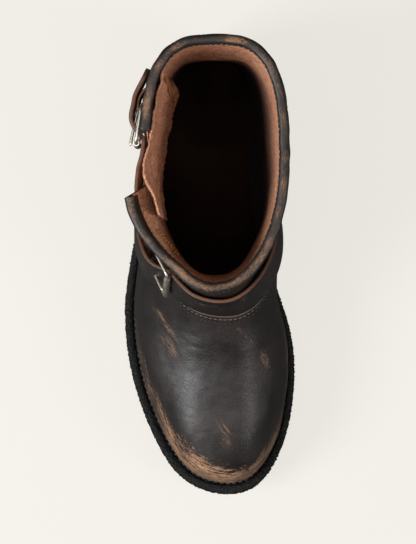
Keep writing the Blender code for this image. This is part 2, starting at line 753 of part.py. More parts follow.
def chape_path(bar, anchor, toward, out):
    """From its stitched end under the bar, round it and back on top; toward is +1 where the bar lies further on."""
    radius = BAR + GAP + CHAPE / 2 + 0.0002
    seat = SEAT + CHAPE / 2
    start = bar - toward * 0.010
    lower = [(along, seat) for along in np.linspace(anchor, start, 2 + int(abs(start - anchor) / 0.006))]
    lower.append((bar - toward * 0.004, out - radius * 0.92))
    angles = np.radians(np.arange(-80, 91, 28))
    loop = [(bar + toward * radius * math.cos(a), out + radius * math.sin(a)) for a in angles]
    upper = [(bar - toward * 0.005, out + radius * 0.95), (bar - toward * 0.011, seat + CHAPE + 0.0006)]
    return np.array(lower + loop + upper)


def straight_across(place, start, stop, side, reach=0.012):
    """The same place, but straight across between start and stop, as leather under a roller or round a bar is."""
    side = np.array(side)

    def moved(along, across, out):
        along, across, out = np.broadcast_arrays(*(np.asarray(v, float) for v in (along, across, out)))
        flat = place(along, 0.0 * across, out) + across[..., None] * side
        outside = np.maximum(np.maximum(start - along, along - stop), 0.0)
        share = step(outside / reach)
        return flat + (place(along, across, out) - flat) * share[..., None]

    return moved


def local_frame(place, roller, heel_bar):
    """Matrix with its origin midway between the two bars, X from the heel bar to the roller, Z out."""
    (roller_along, roller_out), (bar_along, bar_out) = roller, heel_bar
    a, b = place(roller_along, 0.0, roller_out), place(bar_along, 0.0, bar_out)
    middle = (roller_along + bar_along) / 2
    up = place(middle, 0.004, 0.004) - place(middle, -0.004, 0.004)
    x = Vector(a - b).normalized()
    z = x.cross(Vector(up)).normalized()
    y = z.cross(x)
    matrix = Matrix((x, y, z)).transposed().to_4x4()
    matrix.translation = Vector((a + b) / 2)
    return matrix, float(np.linalg.norm(a - b))


def make_buckle(prefix, matrix, length, width, metal, collection, cutters):
    """Frame of round wire, roller on its front bar and prong looped round its heel bar."""
    inside = width + 2 * FRAME_CLEARANCE
    corner = 0.003
    outline = []
    for cx, cy, start in ((1, 1, 0), (-1, 1, 90), (-1, -1, 180), (1, -1, 270)):
        for angle in np.radians(np.arange(start, start + 91, 30)):
            x = cx * (length / 2 - corner) + corner * math.cos(angle)
            y = cy * (inside / 2 + BAR - corner) + corner * math.sin(angle)
            outline.append((x, y, 0.0))
    tube(f"{prefix}_buckle_frame", outline, BAR, True, matrix, metal, collection)
    half = inside / 2 + BAR - corner
    profile = ((ROLLER, half), (ROLLER, -half), (ROLLER_BORE, -half), (ROLLER_BORE, half))
    turned = [
        [(length / 2 + radius * math.cos(a), height, radius * math.sin(a)) for radius, height in profile]
        for a in np.linspace(0, 2 * np.pi, 17)[:-1]
    ]
    faces = np.concatenate([grid_faces(16, 4, closed_columns=True), closing_faces(16, 4)])
    mesh = mesh_of(f"{prefix}_buckle_roller", np.array(turned), faces)
    tidy(mesh)
    add_object(f"{prefix}_buckle_roller", mesh, metal, collection).matrix_world = matrix
    loop = BAR + GAP + PRONG
    bar = -length / 2
    rest = ROLLER + GAP + PRONG
    path = [(bar + loop * math.cos(a), 0.0, loop * math.sin(a)) for a in np.radians(PRONG_TURNS)]
    path += [(bar + 0.5 * length, 0.0, (loop + rest) / 2 + 0.0002)]
    path += [(length / 2 - 0.5 * ROLLER, 0.0, rest + 0.0002), (length / 2 + 0.8 * ROLLER, 0.0, rest - 0.0002)]
    tube(f"{prefix}_buckle_prong", path, PRONG, False, matrix, metal, collection)
    slot = 2 * (PRONG + 2 * GAP)
    chape_hole = (bar - 2 * loop, bar + loop + CHAPE)
    strap_hole = (bar - 0.08 * length, bar + 0.76 * length)
    for leather_piece, (start, stop) in (("chape", chape_hole), ("strap", strap_hole)):
        size = (stop - start, slot, 0.016)
        middle = matrix @ Matrix.Translation(((start + stop) / 2, 0.0, 0.001))
        cutter = cutting_box(f"{prefix}_{leather_piece}_slot", size, middle, cutters)
        cut_with(bpy.data.objects[f"{prefix}_{leather_piece}"], cutter)


def tube(name, points, radius, cyclic, matrix, material, collection, sides=2):
    """A round wire along a list of points, made a mesh with its caps welded."""
    curve = bpy.data.curves.new(name, "CURVE")
    curve.dimensions = "3D"
    curve.bevel_depth = radius
    curve.bevel_resolution = sides
    curve.use_fill_caps = not cyclic
    line = curve.splines.new("POLY")
    line.points.add(len(points) - 1)
    for spot, point in zip(line.points, points):
        spot.co = (*point, 1.0)
    line.use_cyclic_u = cyclic
    guide = bpy.data.objects.new(name + "_guide", curve)
    collection.objects.link(guide)
    bpy.context.view_layer.update()
    mesh = bpy.data.meshes.new_from_object(guide.evaluated_get(bpy.context.evaluated_depsgraph_get()))
    bpy.data.objects.remove(guide, do_unlink=True)
    tidy(mesh, 1e-6)
    obj = add_object(name, mesh, material, collection)
    obj.matrix_world = matrix
    return obj


def make_straps(leather, metal, collection, cutters):
    """Top strap over the slit and instep strap round the ankle, each with its buckle and chape."""
    over = SEAT + STRAP / 2
    roller_out = SEAT + STRAP + GAP + ROLLER + 0.0002
    bar_out = SEAT + CHAPE + GAP + BAR + 0.0003
    crest = bar_out + BAR + GAP + CHAPE + 0.0002 + GAP + STRAP / 2 + 0.0004
    lie = SEAT + 2 * CHAPE + 0.0012 + STRAP / 2

    place = top_place()
    front, rear = TOP_ROLLER, TOP_ROLLER - TOP_BUCKLE_LENGTH
    rows = [
        (0.050, over),
        (0.034, over + 0.0006),
        (0.018, over + 0.0028),
        (0.004, over + 0.0012),
        (front + 0.003, over),
        (front - 0.004, over + 0.0006),
        (front - 0.012, crest),
        (rear, crest + 0.0002),
        (rear - 0.006, crest - 0.0002),
        (rear - 0.015, lie + 0.0004),
        (rear - 0.022, lie),
    ]
    fasten("top", place, front, rear, rear - 0.026, rows, (TOP_STRAP_WIDTH, roller_out, bar_out, crest),
           leather, metal, collection, cutters)

    place = instep_place()
    raised = lambda along, across, out: place(along, across, np.asarray(out) + VAMP_STEP)
    front, rear = INSTEP_ROLLER, INSTEP_ROLLER + INSTEP_BUCKLE_LENGTH
    rows = [
        (-0.100, over),
        (-0.070, over),
        (-0.045, over),
        (-0.022, over - VAMP_STEP / 2),
        (-0.004, over - VAMP_STEP / 2),
        (0.014, over - VAMP_STEP / 2),
        (front - 0.003, over),
        (front + 0.004, over + 0.0006),
        (front + 0.014, crest),
        (rear, crest + 0.0002),
        (rear + 0.006, crest - 0.0002),
        (rear + 0.015, lie + 0.0004),
        (rear + 0.022, lie),
    ]
    fasten("instep", raised, front, rear, rear + 0.046, rows, (INSTEP_STRAP_WIDTH, roller_out, bar_out, crest),
           leather, metal, collection, cutters)


def fasten(prefix, place, front, rear, anchor, rows, sizes, leather, metal, collection, cutters):
    """One strap with its chape, frame, roller and prong, the bars at front and rear along the strap."""
    width, roller_out, bar_out, crest = sizes
    matrix, length = local_frame(place, (front, roller_out), (rear, bar_out))
    low, high = min(front, rear) - 0.004, max(front, rear) + 0.004
    straight = straight_across(place, low, high, matrix.col[1].to_3d())
    strap(f"{prefix}_strap", eased(rows), width, STRAP, straight, leather, collection)
    path = chape_path(rear, anchor, 1 if front > rear else -1, bar_out)
    strap(f"{prefix}_chape", path, width * 0.8, CHAPE, straight, leather, collection, across=2)
    make_buckle(prefix, matrix, length, width, metal, collection, cutters)


def main():
    clear_scene()
    boot = bpy.data.collections.new("engineer_boot")
    cutters = bpy.data.collections.new("cutters")
    bpy.context.scene.collection.children.link(boot)
    bpy.context.scene.collection.children.link(cutters)
    leather = make_material("black_leather", (0.045, 0.040, 0.038), 0.5)
    suede = make_material("brown_suede", (0.33, 0.15, 0.08), 0.9)
    rubber = make_material("black_rubber", (0.02, 0.02, 0.02), 0.8)
    edge = make_material("black_edge", (0.025, 0.025, 0.025), 0.7)
    board = make_material("insole_board", (0.20, 0.11, 0.06), 0.8)
    steel = make_material("nickel", (0.62, 0.60, 0.56), 0.3, 1.0)
    make_soles(boot, cutters, rubber, edge, board)
    make_upper(leather, boot)
    make_counter(leather, boot)
    make_binding(leather, boot)
    make_gusset(suede, boot)
    make_straps(leather, steel, boot, cutters)


main()
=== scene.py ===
"""Dresses the engineer boot: each solid of the frame gets a mesh and a material of its own."""

import math

import bpy
import numpy as np
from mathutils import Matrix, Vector


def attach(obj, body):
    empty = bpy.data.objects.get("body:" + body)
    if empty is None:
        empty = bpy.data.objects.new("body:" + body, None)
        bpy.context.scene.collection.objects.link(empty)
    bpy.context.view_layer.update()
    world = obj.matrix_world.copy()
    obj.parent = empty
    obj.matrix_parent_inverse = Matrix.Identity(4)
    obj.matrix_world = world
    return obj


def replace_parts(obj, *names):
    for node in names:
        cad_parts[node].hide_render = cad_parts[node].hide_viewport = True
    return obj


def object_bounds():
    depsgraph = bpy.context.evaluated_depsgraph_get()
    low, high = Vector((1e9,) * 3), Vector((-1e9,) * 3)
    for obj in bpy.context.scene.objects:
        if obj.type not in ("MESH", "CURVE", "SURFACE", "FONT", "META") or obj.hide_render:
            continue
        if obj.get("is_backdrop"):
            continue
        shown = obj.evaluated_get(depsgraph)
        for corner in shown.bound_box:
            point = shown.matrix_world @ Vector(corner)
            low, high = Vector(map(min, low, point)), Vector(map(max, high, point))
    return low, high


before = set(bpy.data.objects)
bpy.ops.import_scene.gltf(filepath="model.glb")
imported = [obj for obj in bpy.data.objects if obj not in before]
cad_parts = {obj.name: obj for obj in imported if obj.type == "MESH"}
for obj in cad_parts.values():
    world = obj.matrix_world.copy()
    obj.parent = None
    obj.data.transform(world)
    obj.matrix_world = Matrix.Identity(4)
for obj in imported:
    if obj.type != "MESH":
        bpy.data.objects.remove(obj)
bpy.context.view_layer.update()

# The view: straight down on the boot, its toe towards the bottom edge of the picture, as a boot
# set on a table is photographed from a stand above it.
camera_data = bpy.data.cameras.new("overhead_camera")
camera_data.sensor_fit = "VERTICAL"
camera_data.sensor_height = 36.0
camera_data.lens = 145.5
camera = bpy.data.objects.new("overhead_camera", camera_data)
camera.location = (-0.0013, -0.0014, 1.5)
bpy.context.scene.collection.objects.link(camera)
bpy.context.scene.camera = camera
bpy.context.scene.view_settings.view_transform = "Standard"


def linear(red, green, blue):
    """The linear value of an sRGB colour given in 0 to 255: a power curve with a straight foot."""
    shares = np.array([red, green, blue]) / 255.0
    curve = np.where(shares <= 0.04045, shares / 12.92, ((shares + 0.055) / 1.055) ** 2.4)
    return (*curve.tolist(), 1.0)


def soft_light(name, place, target, size, watts, tint=(1.0, 1.0, 1.0)):
    """A square studio panel at place that looks at target."""
    data = bpy.data.lights.new(name, "AREA")
    data.shape = "SQUARE"
    data.size = size
    data.energy = watts
    data.color = tint
    lamp = bpy.data.objects.new(name, data)
    aim = np.array(target, float) - np.array(place, float)
    lamp.location = place
    lamp.rotation_euler = Vector(aim.tolist()).to_track_quat("-Z", "Y").to_euler()
    bpy.context.scene.collection.objects.link(lamp)


soft_light("panel_above", (0.0, -0.1, 2.2), (0.0, 0.0, 0.0), 1.3, 17.0, (1.0, 0.99, 0.98))
soft_light("panel_left", (-1.3, -0.45, 1.25), (0.0, 0.0, 0.06), 0.7, 40.0, (0.99, 0.99, 1.0))
soft_light("panel_right", (1.4, -0.55, 1.2), (0.0, 0.0, 0.06), 0.6, 14.0, (1.0, 0.98, 0.97))

# The floor and the air of the studio: a pale sheet without a mark, and even light from all round.
world = bpy.data.worlds.new("studio_air")
bpy.context.scene.world = world
world.use_nodes = True
air = world.node_tree.nodes["Background"]
air.inputs["Color"].default_value = linear(244, 242, 238)
air.inputs["Strength"].default_value = 0.09


def add_node(tree, kind, links=None, **settings):
    """Adds a node, sets its properties, and fills its sockets with values or with other sockets."""
    node = tree.nodes.new(kind)
    for key, value in settings.items():
        setattr(node, key, value)
    for key, value in (links or {}).items():
        socket = node.inputs[key]
        if isinstance(value, bpy.types.NodeSocket):
            tree.links.new(value, socket)
        else:
            socket.default_value = value
    return node


def new_material(name):
    """A material with its Principled shader, ready for the nodes that feed it."""
    material = bpy.data.materials.new(name)
    material.use_nodes = True
    tree = material.node_tree
    return material, tree, tree.nodes["Principled BSDF"]


def object_place(tree):
    """The object coordinates at which the textures are read."""
    return add_node(tree, "ShaderNodeTexCoord").outputs["Object"]


def noise(tree, place, scale, detail, roughness=0.5, distortion=0.0):
    """The value of a noise texture at a place."""
    links = {"Vector": place, "Scale": scale, "Detail": detail}
    links.update({"Roughness": roughness, "Distortion": distortion})
    return add_node(tree, "ShaderNodeTexNoise", links).outputs["Fac"]


def blend(tree, share, first, second):
    """A colour between two colours or sockets."""
    links = {"Factor": share, 6: first, 7: second}
    return add_node(tree, "ShaderNodeMix", links, data_type="RGBA").outputs[2]


def scaled(tree, value, low, high, to_low=0.0, to_high=1.0):
    """A value stretched from low..high to to_low..to_high and held there."""
    links = {"Value": value, "From Min": low, "From Max": high, "To Min": to_low, "To Max": to_high}
    return add_node(tree, "ShaderNodeMapRange", links).outputs["Result"]


def maths(tree, way, a, b, clamp=False):
    """One sum of two values or sockets."""
    return add_node(tree, "ShaderNodeMath", {0: a, 1: b}, operation=way, use_clamp=clamp).outputs[0]


def weighed(tree, *terms):
    """The sum of sockets, each times its weight."""
    total, *others = (maths(tree, "MULTIPLY", value, weight) for value, weight in terms)
    for other in others:
        total = maths(tree, "ADD", total, other)
    return total


def dress_shader(tree, shader, colour, values, relief=None):
    """Feeds a shader its colour, its other values and, from (height, strength, distance), a bump."""
    tree.links.new(colour, shader.inputs["Base Color"])
    for title, value in values.items():
        shader.inputs[title].default_value = value
    if relief:
        links = dict(zip(("Height", "Strength", "Distance"), relief))
        tree.links.new(add_node(tree, "ShaderNodeBump", links).outputs["Normal"], shader.inputs["Normal"])


def new_group(name, colours, values, results):
    """A node group into which colours and values go, and from which a colour and results come."""
    group = bpy.data.node_groups.new(name, "ShaderNodeTree")
    sockets = [(title, "INPUT", "Color") for title in colours]
    sockets += [(title, "INPUT", "Float") for title in values] + [("Color", "OUTPUT", "Color")]
    sockets += [(title, "OUTPUT", "Float") for title in results]
    for title, way, kind in sockets:
        group.interface.new_socket(title, in_out=way, socket_type=f"NodeSocket{kind}")
    given, made = group.nodes.new("NodeGroupInput"), group.nodes.new("NodeGroupOutput")
    return group, given.outputs, made.inputs


def lay_mesh(name, points, quads, material, sharp=55.0, grain=None, masks=None):
    """A mesh from an array of points and one of quads, smooth but for edges sharper than the angle."""
    points = np.asarray(points, float).reshape(-1, 3)
    quads = np.asarray(quads, np.int32).reshape(-1, 4)
    used, inverse = np.unique(quads, return_inverse=True)
    points, quads = points[used], inverse.reshape(-1, 4).astype(np.int32)
    mesh = bpy.data.meshes.new(name)
    mesh.vertices.add(len(points))
    mesh.vertices.foreach_set("co", points.ravel())
    mesh.loops.add(quads.size)
    mesh.loops.foreach_set("vertex_index", quads.ravel())
    mesh.polygons.add(len(quads))
    mesh.polygons.foreach_set("loop_start", np.arange(len(quads), dtype=np.int32) * 4)
    mesh.update(calc_edges=True)
    mesh.validate()
    mesh.polygons.foreach_set("use_smooth", np.ones(len(mesh.polygons), bool))
    mesh.set_sharp_from_angle(angle=math.radians(sharp))
    if grain is not None:
        run = np.asarray(grain, np.float32).reshape(-1, 3)[used]
        mesh.attributes.new("grain", "FLOAT_VECTOR", "POINT").data.foreach_set("vector", run.ravel())
    for mask, values in (masks or {}).items():
        layer = mesh.attributes.new(mask, "FLOAT", "POINT")
        layer.data.foreach_set("value", np.asarray(values, float).reshape(-1)[used].astype(np.float32))
    mesh.materials.append(material)
    piece = bpy.data.objects.new(name, mesh)
    bpy.context.scene.collection.objects.link(piece)
    return piece


def grid_quads(rows, columns, round_columns=False, round_rows=False):
    """Quads of a grid numbered row by row, closed round its columns or rows where asked."""
    down = np.arange(rows if round_rows else rows - 1)[:, None]
    across = np.arange(columns if round_columns else columns - 1)[None, :]
    below, beside = (down + 1) % rows, (across + 1) % columns
    starts, ends = down * columns, below * columns
    corners = np.broadcast_arrays(starts + across, starts + beside, ends + beside, ends + across)
    return np.stack(corners, axis=-1).reshape(-1, 4)


FLOOR_REACH, FLOOR_DROP, FLOOR_GLOW = 12.0, 0.0002, 0.835
floor_paper, tree, shader = new_material("floor_paper")
tooth = noise(tree, object_place(tree), 900.0, 3.0)
seen = add_node(tree, "ShaderNodeLightPath").outputs["Is Camera Ray"]
tree.links.new(maths(tree, "MULTIPLY", seen, FLOOR_GLOW), shader.inputs["Emission Strength"])
values = {"Roughness": 0.9, "Emission Color": linear(241, 238, 231)}
dress_shader(tree, shader, blend(tree, tooth, linear(90, 89, 86), linear(93, 92, 89)), values)
side = np.linspace(-FLOOR_REACH, FLOOR_REACH, 5)
floor_x, floor_y = np.meshgrid(side, side)
floor_points = np.stack([floor_x, floor_y, 0 * floor_x - FLOOR_DROP], -1)
floor = lay_mesh("floor", floor_points, grid_quads(5, 5), floor_paper)
floor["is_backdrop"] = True

# The rubber sole: a lugged tread with its own outline, flat under the ball, sprung at the toe and
# climbing to the heel seat, and under that a heel of stacked rubber with a grooved top lift. A row of
# the outline: x in shares of the ball's and of the heel's half width, y and margin in their own sizes.
SOLE_LENGTH = 0.300
HALF_BALL, HALF_HEEL = 0.0567, 0.038
WELT_MARGIN = 0.010
OUTLINE = (
    ("toe tip", 0.17, 0.00, -0.500, 1.00),
    ("toe medial", 0.56, 0.00, -0.479, 0.95),
    ("toe corner medial", 0.81, 0.00, -0.415, 0.85),
    ("forefoot medial", 0.955, 0.00, -0.325, 0.75),
    ("ball medial", 1.00, 0.00, -0.215, 0.68),
    ("behind ball medial", 0.925, 0.00, -0.118, 0.55),
    ("waist front medial", 0.76, 0.00, -0.022, 0.38),
    ("waist medial", 0.46, 0.29, 0.095, 0.38),
    ("breast medial", 0.20, 0.68, 0.225, 0.45),
    ("heel medial", 0.00, 1.00, 0.350, 0.50),
    ("heel corner medial", 0.00, 0.72, 0.458, 0.52),
    ("heel back", 0.00, 0.00, 0.500, 0.52),
    ("heel corner lateral", 0.00, -0.72, 0.458, 0.52),
    ("heel lateral", 0.00, -1.00, 0.350, 0.50),
    ("breast lateral", -0.30, -0.62, 0.225, 0.52),
    ("waist lateral", -0.64, -0.32, 0.095, 0.70),
    ("ball back lateral", -0.985, 0.00, -0.040, 0.85),
    ("ball lateral", -1.00, 0.00, -0.135, 0.90),
    ("forefoot lateral", -0.915, 0.00, -0.240, 0.90),
    ("toe corner lateral", -0.70, 0.00, -0.357, 0.92),
    ("toe lateral", -0.34, 0.00, -0.462, 0.96),
)


def spline(values, closed=False):
    """Cubic spline through rows at 0, 1, 2 and on: the second derivative is solved so that it stays even."""
    values = np.asarray(values, float)
    count = len(values)
    system, right = np.eye(count), np.zeros_like(values)
    for i in range(count):
        if closed or 0 < i < count - 1:
            before, after = (i - 1) % count, (i + 1) % count
            system[i, i] = 4.0
            system[i, before] = system[i, after] = 1.0
            right[i] = 6.0 * (values[before] - 2.0 * values[i] + values[after])
    bend = np.linalg.solve(system, right)

    def at(x):
        x = np.mod(np.asarray(x, float), count) if closed else np.asarray(x, float)
        i = np.clip(np.floor(x).astype(int), 0, count - 1 if closed else count - 2)
        j = (i + 1) % count
        u = (x - i)[..., None]
        w = 1.0 - u
        return w * values[i] + u * values[j] + ((w**3 - w) * bend[i] + (u**3 - u) * bend[j]) / 6.0

    return at


def ease(x):
    """Runs smoothly from 0 at x = 0 to 1 at x = 1: three squares less two cubes."""
    x = np.clip(x, 0.0, 1.0)
    return x * x * (3.0 - 2.0 * x)


outline_rows = []
for _, ball, heel, along, wide in OUTLINE:
    outline_rows.append((ball * HALF_BALL + heel * HALF_HEEL, along * SOLE_LENGTH, wide * WELT_MARGIN))
outline_raw = spline(outline_rows, closed=True)
outline_index = np.linspace(0, len(outline_rows), 1401)
outline_run = np.hypot(*np.diff(outline_raw(outline_index)[:, :2], axis=0).T)
outline_run = np.concatenate([[0.0], np.cumsum(outline_run)])
PERIMETER = float(outline_run[-1])


def outline_at(t):
    """x, y and welt margin at the share t of the outline's own length, from the toe over the medial side."""
    return outline_raw(np.interp(np.mod(t, 1.0), outline_run / PERIMETER, outline_index))


def sole_edge(t, inset):
    """The outline moved inwards, square to itself, by inset."""
    ahead = outline_at(t + 1e-3)[..., :2] - outline_at(t - 1e-3)[..., :2]
    inward = np.stack([-ahead[..., 1], ahead[..., 0]], axis=-1)
    inward /= np.linalg.norm(inward, axis=-1, keepdims=True)
    return outline_at(t)[..., :2] + inward * np.asarray(inset)[..., None]


def tread_top(y):
    """Top of the tread: level at the ball, a square curve up at the toe, an easing climb to the heel seat."""
    spring = 0.0115 * (np.clip(-0.080 - y, 0.0, None) / 0.070) ** 2
    return 0.008 + spring + 0.028 * ease((y + 0.022) / 0.127)


def tread_bottom(y):
    """Underside of the tread, thinner through the waist."""
    return tread_top(y) - 0.008 + 0.0025 * ease((y + 0.022) / 0.088 * 2)


def cut_at(place, centres, width, soft=0.0007):
    """1 inside any of the grooves at the centres, 0 outside, with a soft wall."""
    away = np.min(np.abs(place[..., None] - np.asarray(centres)), axis=-1)
    return 1.0 - ease((away - width / 2 + soft) / (2 * soft))


def sole_layer(name, cad, inset, bottom, top, material, start=None, columns=1500, edge=0.0007):
    """A closed layer of the sole: rings from the centre line below, round its edge and back above."""
    t = np.linspace(0, 1, columns, endpoint=False)
    corner = np.linspace(0, np.pi / 2, 4)
    lean = edge * (1 - np.sin(corner))
    rise = edge * (1 - np.cos(corner))
    shares = np.array([1.0, 0.8, 0.6, 0.45, 0.3, 0.18, 0.1, 0.05])
    rings = []

    def ring(inset_here, share, height, lift):
        xy = sole_edge(t, inset + inset_here)
        middle = np.interp(xy[:, 1], spine_y, spine_x)
        x = xy[:, 0] + (middle - xy[:, 0]) * share
        y = xy[:, 1]
        if start is not None:
            ends = [np.interp(start, line[:, 1], line[:, 0]) for line in (lateral_side, medial_side)]
            x = np.where(y < start, np.clip(x, min(ends) + inset, max(ends) - inset), x)
            y = np.maximum(y, start)
        rings.append(np.stack([x, y, height(x, y) + lift], axis=-1))

    for share in shares:
        ring(edge, share, bottom, 0.0)
    for a, b in zip(lean, rise[::-1]):
        ring(a, 0.0, bottom, edge - b)
    for share in (0.3, 0.7):
        ring(0.0, 0.0, lambda x, y: bottom(x, y) * (1 - share) + top(x, y) * share, 0.0)
    for a, b in zip(lean[::-1], rise[::-1]):
        ring(a, 0.0, top, b - edge)
    for share in shares[::-1]:
        ring(edge, share, top, 0.0)
    points = np.stack(rings)
    quads = grid_quads(len(rings), columns, round_columns=True)
    piece = lay_mesh(name, points, quads, material, sharp=40.0)
    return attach(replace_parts(piece, cad), "root")


side_t = np.linspace(0, 1, 2000, endpoint=False)
side_xy = outline_at(side_t)
toe_at, heel_at = side_t[np.argmin(side_xy[:, 1])], side_t[np.argmax(side_xy[:, 1])]
medial_side = outline_at(np.linspace(toe_at - (toe_at > 0.5), heel_at, 400))
lateral_side = outline_at(np.linspace(toe_at + (toe_at < 0.5), heel_at, 400))
spine_y = np.linspace(side_xy[:, 1].min(), side_xy[:, 1].max(), 300)
spine_x = sum(np.interp(spine_y, line[:, 1], line[:, 0]) for line in (medial_side, lateral_side)) / 2

dust, given, made = new_group("trodden_dust", ("Clean", "Dust"), ("Amount",), ("Height",))
place = object_place(dust)
patch = scaled(dust, noise(dust, place, 38.0, 6.0, 0.62), 0.45, 0.75)
speck = noise(dust, place, 1400.0, 2.0)
amount = maths(dust, "MULTIPLY", maths(dust, "MULTIPLY", patch, speck), given["Amount"], True)
dust.links.new(blend(dust, amount, given["Clean"], given["Dust"]), made["Color"])
dust.links.new(speck, made["Height"])


def dusted(tree, clean, dusty, amount):
    """Colour and height of a surface on which trodden dust lies."""
    links = {"Clean": clean, "Dust": dusty, "Amount": amount}
    film = add_node(tree, "ShaderNodeGroup", links, node_tree=dust)
    return film.outputs["Color"], film.outputs["Height"]


sole_rubber, tree, shader = new_material("sole_rubber")
colour, height = dusted(tree, linear(17, 16, 16), linear(96, 88, 80), 0.8)
dress_shader(tree, shader, colour, {"Roughness": 0.72}, (height, 0.25, 0.0002))

HEEL_BREAST, GROOVE_WIDTH, GROOVE_DEPTH = 0.066, 0.005, 0.0035
CROSS_GROOVES = [-0.028 - 0.0145 * i for i in range(8)]
HEEL_GROOVES = [HEEL_BREAST + 0.020 * (i + 0.9) for i in range(3)]


def tread_under(x, y):
    """The tread's underside with its cross grooves and the long groove between the lugs."""
    cross = cut_at(y, CROSS_GROOVES, GROOVE_WIDTH)
    long = cut_at(x - 0.002, [0.0], GROOVE_WIDTH) * ease((y + 0.082) / 0.001) * ease((-0.020 - y) / 0.001)
    return tread_bottom(y) + GROOVE_DEPTH * np.maximum(cross, long)


def lift_under(x, y):
    """The top lift's underside with its grooves."""
    return GROOVE_DEPTH * cut_at(y, HEEL_GROOVES, 0.004)


def over_tread(height):
    """A face that follows the tread's top at a height above it."""
    return lambda x, y: tread_top(y) + height


def heel_seat(x, y):
    """The top of the heel stack, a hair under the tread."""
    return tread_bottom(y) - 0.0003


def level_at(height):
    """A level face."""
    return lambda x, y: 0 * y + height


sole_layer("outsole_rubber", "outsole", 0.0, tread_under, over_tread(0.0), sole_rubber)
sole_layer("heel_stack_rubber", "heel_stack", 0.00075, level_at(0.0073), heel_seat, sole_rubber, HEEL_BREAST)
sole_layer("top_lift_rubber", "heel_top_lift", 0.0015, lift_under, level_at(0.007), sole_rubber, HEEL_BREAST)

# The midsole, the welt and its stitching: black dressed leather. The welt's top has a rough channel
# next to the upper, in which the black lockstitch lies, and is pricked along its edge by the wheel.
WELT_LOW = 0.0053

dressed_edge, tree, shader = new_material("dressed_edge")
fibre = noise(tree, object_place(tree), 520.0, 5.0, 0.6)
colour, _ = dusted(tree, linear(4, 4, 4), linear(60, 50, 43), 0.3)
dress_shader(tree, shader, colour, {"Roughness": 0.46, "Specular IOR Level": 0.16}, (fibre, 1.0, 0.0009))

midsole = sole_layer("midsole_leather", "midsole", 0.0, over_tread(0.0003), over_tread(0.0048), dressed_edge)

WELT_SECTION = (
    (0.0, 0.0000, 0.0000),
    (0.0, -0.0003, 0.0008),
    (0.0, -0.0003, 0.0026),
    (0.0, 0.0003, 0.0033),
    (0.0, 0.0011, 0.0036),
    (0.45, 0.0003, 0.0036),
    (0.47, 0.0010, 0.0031),
    (0.52, 0.0008, 0.0027),
    (0.58, 0.0008, 0.0029),
    (0.65, 0.0006, 0.0026),
    (0.72, 0.0004, 0.0029),
    (0.80, 0.0002, 0.0026),
    (0.92, 0.0003, 0.0032),
    (1.0, -0.0004, 0.0035),
    (1.0, 0.0006, 0.0002),
)
WELT_COLUMNS, PRICKS, KNOB = 1700, 260, 0.00055
welt_t = np.linspace(0, 1, WELT_COLUMNS, endpoint=False)
margin = outline_at(welt_t)[:, 2]
prick = 0.00022 * np.maximum(0.0, np.sin(2 * np.pi * welt_t * PRICKS)) ** 2
torn = np.random.default_rng(8).normal(0.0, KNOB, (len(WELT_SECTION), WELT_COLUMNS // 2)).repeat(2, axis=1)
rings = []
for (share, inset, height), knobs in zip(WELT_SECTION, torn):
    pricked = prick if 0.0025 < height and share < 0.2 else 0 * prick
    base = tread_top(outline_at(welt_t)[:, 1]) + WELT_LOW
    rough = knobs * (0.5 < share < 0.9)
    xy = sole_edge(welt_t, share * margin + inset + pricked + 0.4 * knobs * (share < 0.1))
    rings.append(np.column_stack([xy, base + height - pricked + rough]))
rings = np.stack(rings)
welt_quads = grid_quads(len(WELT_SECTION), WELT_COLUMNS, True, True)
welt = lay_mesh("welt_strip", rings, welt_quads, dressed_edge, sharp=50.0)
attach(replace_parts(welt, "welt"), "root")


BEAD_RINGS, BEAD_SIDES = 7, 6


def stitch_row(name, path, out, material, pitch=0.0032, share=0.8, radius=0.00034, sink=0.35, slot=None):
    """One plump bead of thread after another along a path: short round grids that narrow at their ends."""
    path, out = np.asarray(path, float), np.asarray(out, float)
    run = np.concatenate([[0.0], np.cumsum(np.linalg.norm(np.diff(path, axis=0), axis=1))])
    count = max(2, int(run[-1] / pitch))
    centre = (np.arange(count) + 0.5) * run[-1] / count
    half = pitch * share / 2
    along = np.linspace(-1, 1, BEAD_RINGS)
    spread = centre[:, None] + half * along[None, :]
    spine = np.stack([np.interp(spread, run, path[:, k]) for k in range(3)], axis=-1)
    lift = np.stack([np.interp(spread, run, out[:, k]) for k in range(3)], axis=-1)
    lift /= np.linalg.norm(lift, axis=-1, keepdims=True)
    ahead = spine[:, -1:] - spine[:, :1]
    ahead = ahead / np.linalg.norm(ahead, axis=-1, keepdims=True)
    beside = np.cross(ahead, lift)
    thick = radius * np.sqrt(np.clip(1 - np.abs(along) ** 3, 0.02, 1))
    dive = radius * (sink + 0.9 * np.abs(along) ** 3)
    turn = np.linspace(0, 2 * np.pi, BEAD_SIDES, endpoint=False)
    points = (
        spine[:, :, None]
        - lift[:, :, None] * dive[None, :, None, None]
        + beside[:, :, None] * (thick[:, None] * np.cos(turn))[None, :, :, None]
        + lift[:, :, None] * (thick[:, None] * np.sin(turn))[None, :, :, None]
    )
    last = (BEAD_RINGS - 1) * BEAD_SIDES
    ends = [(0, 1, 2, 3), (0, 3, 4, 5)]
    ends += [tuple(last + side for side in end) for end in ((3, 2, 1, 0), (5, 4, 3, 0))]
    one = np.concatenate([grid_quads(BEAD_RINGS, BEAD_SIDES, round_columns=True)[:, ::-1], ends])
    quads = one[None] + (np.arange(count) * BEAD_RINGS * BEAD_SIDES)[:, None, None]
    piece = lay_mesh(name, points, quads.reshape(-1, 4), material, sharp=80.0)
    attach(piece, "root")
    return piece if slot else piece


